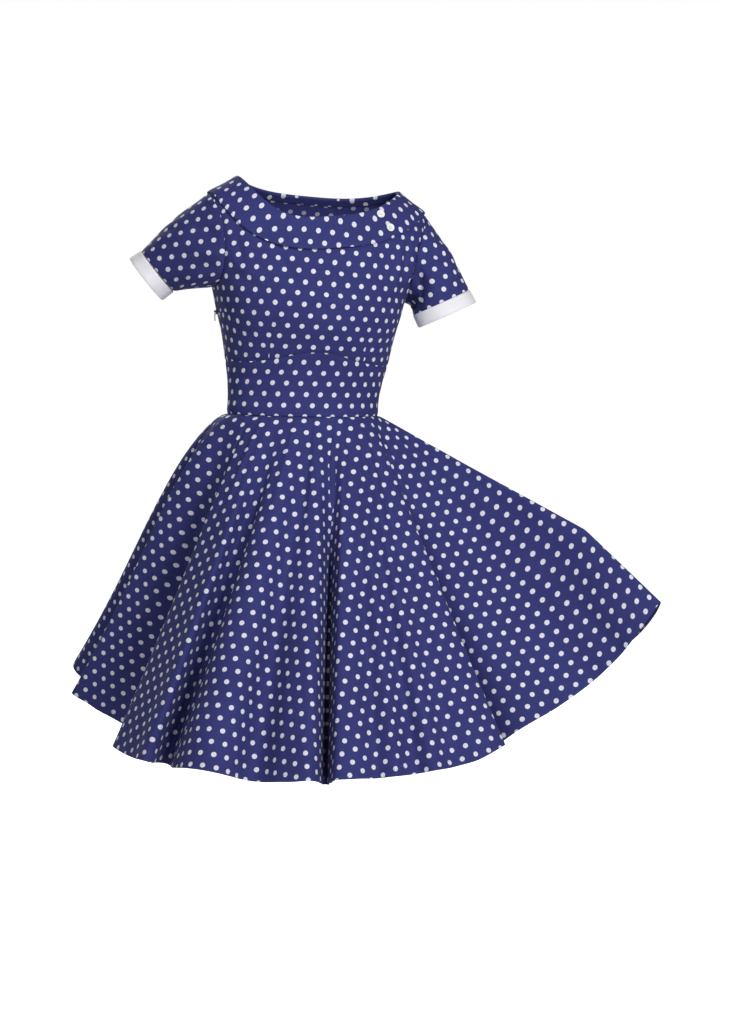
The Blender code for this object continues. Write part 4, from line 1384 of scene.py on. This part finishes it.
class DRESS_OT_sleeves(bpy.types.Operator):
    """Make both sleeves and their white turned cuffs"""

    bl_idname = "dress.sleeves"
    bl_label = "Sleeves and cuffs"

    def execute(self, context):
        for row in SLEEVES:
            sleeve = dict(zip(SLEEVE_COLUMNS, row))
            self.sleeve(sleeve)
            self.cuff(context, sleeve)
        return {"FINISHED"}

    def sleeve(self, sleeve):
        """The sleeve's cloth, with its print parted at the back of the arm."""
        name = "sleeve_" + sleeve["name"]
        turn = outward_turn(sleeve)
        grid = sleeve_grid(sleeve)
        grid[0] = drawn(grid[0], grid[1], ARMHOLE_HALF_GAP)
        grid[-1] = drawn(grid[-1], grid[-2], SEAM_HALF_GAP)
        heights = crease_heights(sleeve_place(grid), SLEEVE_CREASES[sleeve["name"]])
        heights += seam_dips(grid, ("first_row", "last_row"))
        to_back = grid.shape[1] // 4
        grid, heights = np.roll(grid, to_back, axis=1), np.roll(heights, to_back, axis=1)
        uv = sleeve_uv(grid, sleeve)
        grid = shaped(grid[::turn], heights[::turn], closed=True)
        printed_panel(name, grid, uv[::turn], closed=True)

    def cuff(self, context, sleeve):
        """A folded band: flat outside, rounded where it turns, and a little uneven."""
        thickness = context.scene.dress_cloth.cuff_thickness
        name = "cuff_" + sleeve["name"]
        turn = outward_turn(sleeve)
        angles = np.linspace(0, 2 * math.pi, CUFF_SPANS, endpoint=False)
        uneven = sum(height * np.sin(waves * angles + at) for waves, height, at in CUFF_WAVES)
        _, up, front = cuff_frame(sleeve)
        out = np.cos(angles)[:, None] * up + np.sin(angles)[:, None] * front
        rows = []
        for past, extra in CUFF_PROFILE:
            ring = cuff_ring(sleeve, CUFF_SPANS, past, extra)
            rows.append(ring + out * (uneven * past / CUFF_WIDTH)[:, None])
        grid = np.array(rows)
        ring = np.concatenate([grid, grid[:, :1]], axis=1)
        uv = np.stack([run_over(ring, 1), -run_over(ring, 0)], axis=-1)
        GRIDS[name] = grid[::turn]
        materials = (MATERIALS["white"], MATERIALS["white"])
        uv = uv[::turn]
        piece = cloth_mesh(name + "_cloth", GRIDS[name], uv, thickness, materials, closed=True)
        worn(piece, name)


def rippled(place, down_share):
    """Fine unevenness that grows from nothing at the waist to its full height at the hem."""
    heights = np.zeros(place.shape[:-1])
    for row in RIPPLES:
        ripple = dict(zip(RIPPLE_COLUMNS, row))
        phase = 2 * math.pi * ripple["waves"] * place[..., 0] + ripple["phase"]
        heights += ripple["height"] * np.sin(phase) * down_share**2
    return heights


SKIRT_SIDE_HALF_GAP = 0.0001
CALM_BESIDE_SEAM = 0.06


class DRESS_OT_skirt(bpy.types.Operator):
    """Make the two half circles of the skirt, hanging in folds"""

    bl_idname = "dress.skirt"
    bl_label = "Skirt"

    def execute(self, context):
        for face in ("front", "back"):
            name = "skirt_" + face
            grid = skirt_grid(face)
            flat, place = skirt_uv(grid, face)
            grid[:, 0] = drawn(grid[:, 0], grid[:, 1], SKIRT_SIDE_HALF_GAP)
            grid[:, -1] = drawn(grid[:, -1], grid[:, -2], SKIRT_SIDE_HALF_GAP)
            down_share = place[..., 1] / place[-1:, :, 1]
            side = np.minimum(place[..., 0], place[0, -1, 0] - place[..., 0])
            calm = 1 - np.exp(-((side / CALM_BESIDE_SEAM) ** 2))
            heights = crease_heights(place, SKIRT_CREASES[face]) + rippled(place, down_share)
            heights = heights * calm + seam_dips(grid, ("first_row", "sides"))
            GRIDS[name] = shaped(grid, heights)
            printed_panel(name, GRIDS[name], flat)
        return {"FINISHED"}


# How much of a thread's radius lies over the cloth, how many points each row of stitches
# stays clear of its ends, and the ring of a cuff that is sewn
THREAD_OVER_CLOTH = 0.6
HEM_ENDS = 4
MIDRIFF_SEAM_ENDS = 3
CUFF_STITCH_RING = 3


class DRESS_OT_stitching(bpy.types.Operator):
    """Sew rows of stitches along the hem, the cuffs and the midriff seam"""

    bl_idname = "dress.stitching"
    bl_label = "Stitching"

    def execute(self, context):
        sewing = context.scene.dress_sewing
        lift = sewing.thread_radius * THREAD_OVER_CLOTH
        hems = []
        for face in ("front", "back"):
            grid = GRIDS["skirt_" + face]
            rows = run_over(grid, 0)
            row = int(np.argmin(np.abs(rows[-1] - rows - sewing.hem_allowance).mean(axis=1)))
            hems.append(over_cloth(grid, row, lift)[HEM_ENDS:-HEM_ENDS])
        stitches("hem_stitches", hems)
        cuffs = []
        for side in ("left", "right"):
            grid = GRIDS["cuff_" + side]
            row = CUFF_STITCH_RING if side == "left" else -1 - CUFF_STITCH_RING
            ring = over_cloth(grid, row, lift)
            cuffs.append(np.concatenate([ring, ring[:1]]))
        stitches("cuff_stitches", cuffs, "white_thread")
        seams = []
        for face in ("front", "back"):
            grid = GRIDS["bodice_" + face]
            seams.append(over_cloth(grid, 1, lift)[MIDRIFF_SEAM_ENDS:-MIDRIFF_SEAM_ENDS])
        stitches("midriff_seam_stitches", seams)
        return {"FINISHED"}


# From the middle of a button's face round its rim to the middle of its back: radius, height
BUTTON_PROFILE = (
    (0.0000, 0.0017),
    (0.0044, 0.0017),
    (0.0052, 0.0019),
    (0.0058, 0.0026),
    (0.0065, 0.0028),
    (0.0072, 0.0025),
    (0.0075, 0.0017),
    (0.0073, 0.0009),
    (0.0064, 0.0001),
    (0.0000, 0.0000),
)
BUTTON_SPANS = 48
HOLE_RADIUS = 0.00085
HOLES_APART = 0.0030
HOLE_SIDES = 16
HOLE_MIDDLE_Z = 0.001
HOLE_LENGTH = 0.01
BUTTON_THREAD_RADIUS = 0.00032
BUTTON_THREAD_Z = 0.0019
BUTTON_THREAD_REACH = 0.62
BUTTON_THREAD_SEGMENTS = 12
BUTTON_THREAD_RINGS = 8
MERGE_DISTANCE = 1e-6
# A place inside the neck that both buttons face away from, but for its height
NECK_INSIDE = (0, 0.05)


def button_facing(node):
    """The middle and the facing of a button's solid, from the flat side it lies on."""
    vertices = np.array([v.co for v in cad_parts[node].data.vertices])
    middle = vertices.mean(axis=0)
    spreads = np.linalg.svd(vertices - middle, full_matrices=False)
    facing = spreads[2][-1]
    if facing @ (middle - np.array([*NECK_INSIDE, middle[2]])) < 0:
        facing = -facing
    lowest = ((vertices - middle) @ facing).min()
    return middle + facing * lowest, facing


class DRESS_OT_buttons(bpy.types.Operator):
    """Turn the two pearly buttons, with holes and sewing thread"""

    bl_idname = "dress.buttons"
    bl_label = "Buttons"

    def execute(self, context):
        for node in ("button_neck", "button_collar"):
            seat, facing = button_facing(node)
            quaternion = Vector(facing).to_track_quat("Z", "Y")
            place = Matrix.Translation(seat) @ quaternion.to_matrix().to_4x4()
            self.button(node, place)
            self.thread(node, place)
        return {"FINISHED"}

    def button(self, node, place):
        """The turned button, drilled with four holes."""
        form = bmesh.new()
        ring = [form.verts.new((x, 0, z)) for x, z in BUTTON_PROFILE]
        edges = [form.edges.new(pair) for pair in zip(ring, ring[1:])]
        axis = {"cent": (0, 0, 0), "axis": (0, 0, 1), "angle": 2 * math.pi}
        bmesh.ops.spin(form, geom=ring + edges, steps=BUTTON_SPANS, **axis)
        bmesh.ops.remove_doubles(form, verts=form.verts, dist=MERGE_DISTANCE)
        bmesh.ops.recalc_face_normals(form, faces=form.faces)
        piece = self.linked(form, node + "_turned", "pearl")
        drill = self.linked(self.drills(), "drills")
        cut = piece.modifiers.new("Holes", "BOOLEAN")
        cut.object = drill
        cut.operation = "DIFFERENCE"
        plain(piece)
        bpy.data.objects.remove(drill)
        piece.data.transform(place)
        worn(piece, node)

    def drills(self):
        """Four rods where the holes go."""
        form = bmesh.new()
        size = {"radius1": HOLE_RADIUS, "radius2": HOLE_RADIUS, "depth": HOLE_LENGTH}
        for x in (-0.5, 0.5):
            for y in (-0.5, 0.5):
                place = (x * HOLES_APART, y * HOLES_APART, HOLE_MIDDLE_Z)
                centre = Matrix.Translation(place)
                bmesh.ops.create_cone(
                    form, cap_ends=True, segments=HOLE_SIDES, matrix=centre, **size
                )
        return form

    def thread(self, node, place):
        """Two straight bars of thread across the middle of the button."""
        form = bmesh.new()
        radius = BUTTON_THREAD_RADIUS
        size = Matrix.Diagonal((radius, radius, HOLES_APART * BUTTON_THREAD_REACH, 1))
        turn = Matrix.Rotation(math.pi / 2, 4, "Y")
        for y in (-0.5, 0.5):
            centre = Matrix.Translation((0, y * HOLES_APART, BUTTON_THREAD_Z))
            bmesh.ops.create_uvsphere(
                form,
                u_segments=BUTTON_THREAD_SEGMENTS,
                v_segments=BUTTON_THREAD_RINGS,
                radius=1,
                matrix=centre @ turn @ size,
            )
        piece = self.linked(form, node + "_thread", "white_thread")
        piece.data.shade_smooth()
        piece.data.transform(place)
        worn(piece)

    def linked(self, form, name, material=None):
        """An object made from a form, which is used up."""
        mesh = bpy.data.meshes.new(name)
        form.to_mesh(mesh)
        form.free()
        if material:
            mesh.materials.append(MATERIALS[material])
        piece = bpy.data.objects.new(name, mesh)
        bpy.context.scene.collection.objects.link(piece)
        return piece


ZIP_TOP_Z = -0.243
ZIP_BOTTOM_Z = -0.409
ZIP_SAMPLES = 60
TOOTH_SIZE = (0.0012, 0.0032, 0.0010)
TEETH_SUNK = 0.0004


class DRESS_OT_zip(bpy.types.Operator):
    """Finish the side zip: its coil of teeth, slider and pull"""

    bl_idname = "dress.zip"
    bl_label = "Side zip"

    def execute(self, context):
        sewing = context.scene.dress_sewing
        z = np.linspace(ZIP_BOTTOM_Z, ZIP_TOP_Z, ZIP_SAMPLES)
        x = -trunk("half_width", z)
        side = leaned(np.stack([x, np.zeros_like(z), z], axis=-1))
        side[:, 0] += TEETH_SUNK
        pitch = sewing.tooth_pitch
        teeth = row_along("zip_teeth", [side], pitch, TOOTH_SIZE, MATERIALS["teeth"])
        worn(teeth)
        for node in ("zip_slider", "zip_pull"):
            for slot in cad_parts[node].material_slots:
                slot.material = MATERIALS["metal"]
        return {"FINISHED"}


# ---------------------------------------------------------------------------------------
# Stage
# ---------------------------------------------------------------------------------------

LIGHT_COLUMNS = ("name", "place", "size", "power")
LIGHTS = (
    ("key", (1.3, -4.0, 1.3), 1.1, 142.0),
    ("fill", (-1.6, -4.2, 0.4), 2.0, 16.0),
    ("top", (-1.7, -1.9, 2.3), 1.4, 30.0),
    ("back", (-0.8, 3.6, 1.4), 2.2, 90.0),
)
LIGHT_AIM = (0, 0, -0.5)

# How bright the backdrop is in the picture, how much light it casts, and what the floor adds
BACKDROP_SEEN = 1.0
BACKDROP_CAST = 0.12
FLOOR_SEEN = 0.96
FLOOR_REACH = 40
FLOOR_GRAIN_SCALE = 3.0
FLOOR_DULL = (0.80, 0.80, 0.80, 1)
FLOOR_PALE = (0.82, 0.82, 0.82, 1)
FLOOR_ROUGHNESS = 0.9
WHITE_LIGHT = (1, 1, 1, 1)


def seen_or_cast(nodes, links, seen, cast):
    """One strength for what the camera sees directly and another for the light it casts."""
    path = nodes.new("ShaderNodeLightPath")
    strength = nodes.new("ShaderNodeMapRange")
    links.new(path.outputs["Is Camera Ray"], strength.inputs["Value"])
    strength.inputs["To Min"].default_value = cast
    strength.inputs["To Max"].default_value = seen
    return strength.outputs["Result"]


class DRESS_OT_stage(bpy.types.Operator):
    """Set the pale floor, the soft studio lights and the camera"""

    bl_idname = "dress.stage"
    bl_label = "Stage"

    def execute(self, context):
        settings = context.scene.dress_stage
        context.scene.view_settings.view_transform = "Standard"
        self.world(context)
        self.floor(settings)
        self.lights()
        self.camera(context, settings)
        return {"FINISHED"}

    def world(self, context):
        world = bpy.data.worlds.new("Studio")
        world.use_nodes = True
        nodes, links = world.node_tree.nodes, world.node_tree.links
        background = nodes["Background"]
        background.inputs["Color"].default_value = WHITE_LIGHT
        strength = seen_or_cast(nodes, links, BACKDROP_SEEN, BACKDROP_CAST)
        links.new(strength, background.inputs["Strength"])
        context.scene.world = world

    def floor(self, settings):
        mesh = bpy.data.meshes.new("floor")
        form = bmesh.new()
        bmesh.ops.create_grid(form, x_segments=1, y_segments=1, size=FLOOR_REACH)
        form.to_mesh(mesh)
        form.free()
        floor = bpy.data.objects.new("floor", mesh)
        bpy.context.scene.collection.objects.link(floor)
        floor.location.z = -settings.floor_drop
        shader = Shader("pale_floor")
        place = shader.add("ShaderNodeTexCoord", output="Object")
        grain = shader.noise(place, FLOOR_GRAIN_SCALE)
        colour = shader.mixed(grain, FLOOR_DULL, FLOOR_PALE)
        shader.set(Base_Color=colour, Roughness=FLOOR_ROUGHNESS, Emission_Color=WHITE_LIGHT)
        glow = seen_or_cast(shader.nodes, shader.links, FLOOR_SEEN, 0.0)
        shader.set(Emission_Strength=glow)
        mesh.materials.append(shader.material)

    def lights(self):
        aim = Vector(LIGHT_AIM)
        for row in LIGHTS:
            light = dict(zip(LIGHT_COLUMNS, row))
            data = bpy.data.lights.new(light["name"], "AREA")
            data.size = light["size"]
            data.energy = light["power"]
            lamp = bpy.data.objects.new(light["name"], data)
            lamp.location = light["place"]
            lamp.rotation_euler = (aim - lamp.location).to_track_quat("-Z", "Y").to_euler()
            bpy.context.scene.collection.objects.link(lamp)

    def camera(self, context, settings):
        azimuth = settings.azimuth
        right = Vector((math.cos(azimuth), math.sin(azimuth), 0))
        ahead = Vector((-math.sin(azimuth), math.cos(azimuth), 0))
        place = -ahead * settings.distance + right * settings.aside
        place.z = settings.camera_height
        data = bpy.data.cameras.new("camera")
        data.lens = settings.lens
        camera = bpy.data.objects.new("camera", data)
        camera.location = place
        way = ahead * settings.distance + Vector((0, 0, -settings.aim_drop))
        camera.rotation_euler = way.to_track_quat("-Z", "Y").to_euler()
        bpy.context.scene.collection.objects.link(camera)
        context.scene.camera = camera


class DRESS_PT_panel(bpy.types.Panel):
    """Lists the settings and the steps that build the dress"""

    bl_label = "Dress"
    bl_idname = "DRESS_PT_panel"
    bl_space_type = "VIEW_3D"
    bl_region_type = "UI"
    bl_category = "Dress"

    def draw(self, context):
        for group in SETTINGS:
            settings = getattr(context.scene, group)
            box = self.layout.box()
            for name in type(settings).__annotations__:
                box.prop(settings, name)
        for step in STEPS:
            self.layout.operator(step.bl_idname)


STEPS = (
    DRESS_OT_materials,
    DRESS_OT_bodice,
    DRESS_OT_midriff,
    DRESS_OT_collar,
    DRESS_OT_sleeves,
    DRESS_OT_skirt,
    DRESS_OT_stitching,
    DRESS_OT_buttons,
    DRESS_OT_zip,
    DRESS_OT_stage,
)
SETTINGS = {
    "dress_cloth": DressClothSettings,
    "dress_sewing": DressSewingSettings,
    "dress_stage": DressStageSettings,
}


def register():
    for kind in (*SETTINGS.values(), *STEPS, DRESS_PT_panel):
        bpy.utils.register_class(kind)
    for name, kind in SETTINGS.items():
        setattr(bpy.types.Scene, name, bpy.props.PointerProperty(type=kind))


def unregister():
    for name in SETTINGS:
        delattr(bpy.types.Scene, name)
    for kind in reversed((*SETTINGS.values(), *STEPS, DRESS_PT_panel)):
        bpy.utils.unregister_class(kind)


def main():
    register()
    for step in STEPS:
        name = step.bl_idname.split(".")[1]
        getattr(bpy.ops.dress, name)()


if __name__ == "__main__":
    main()
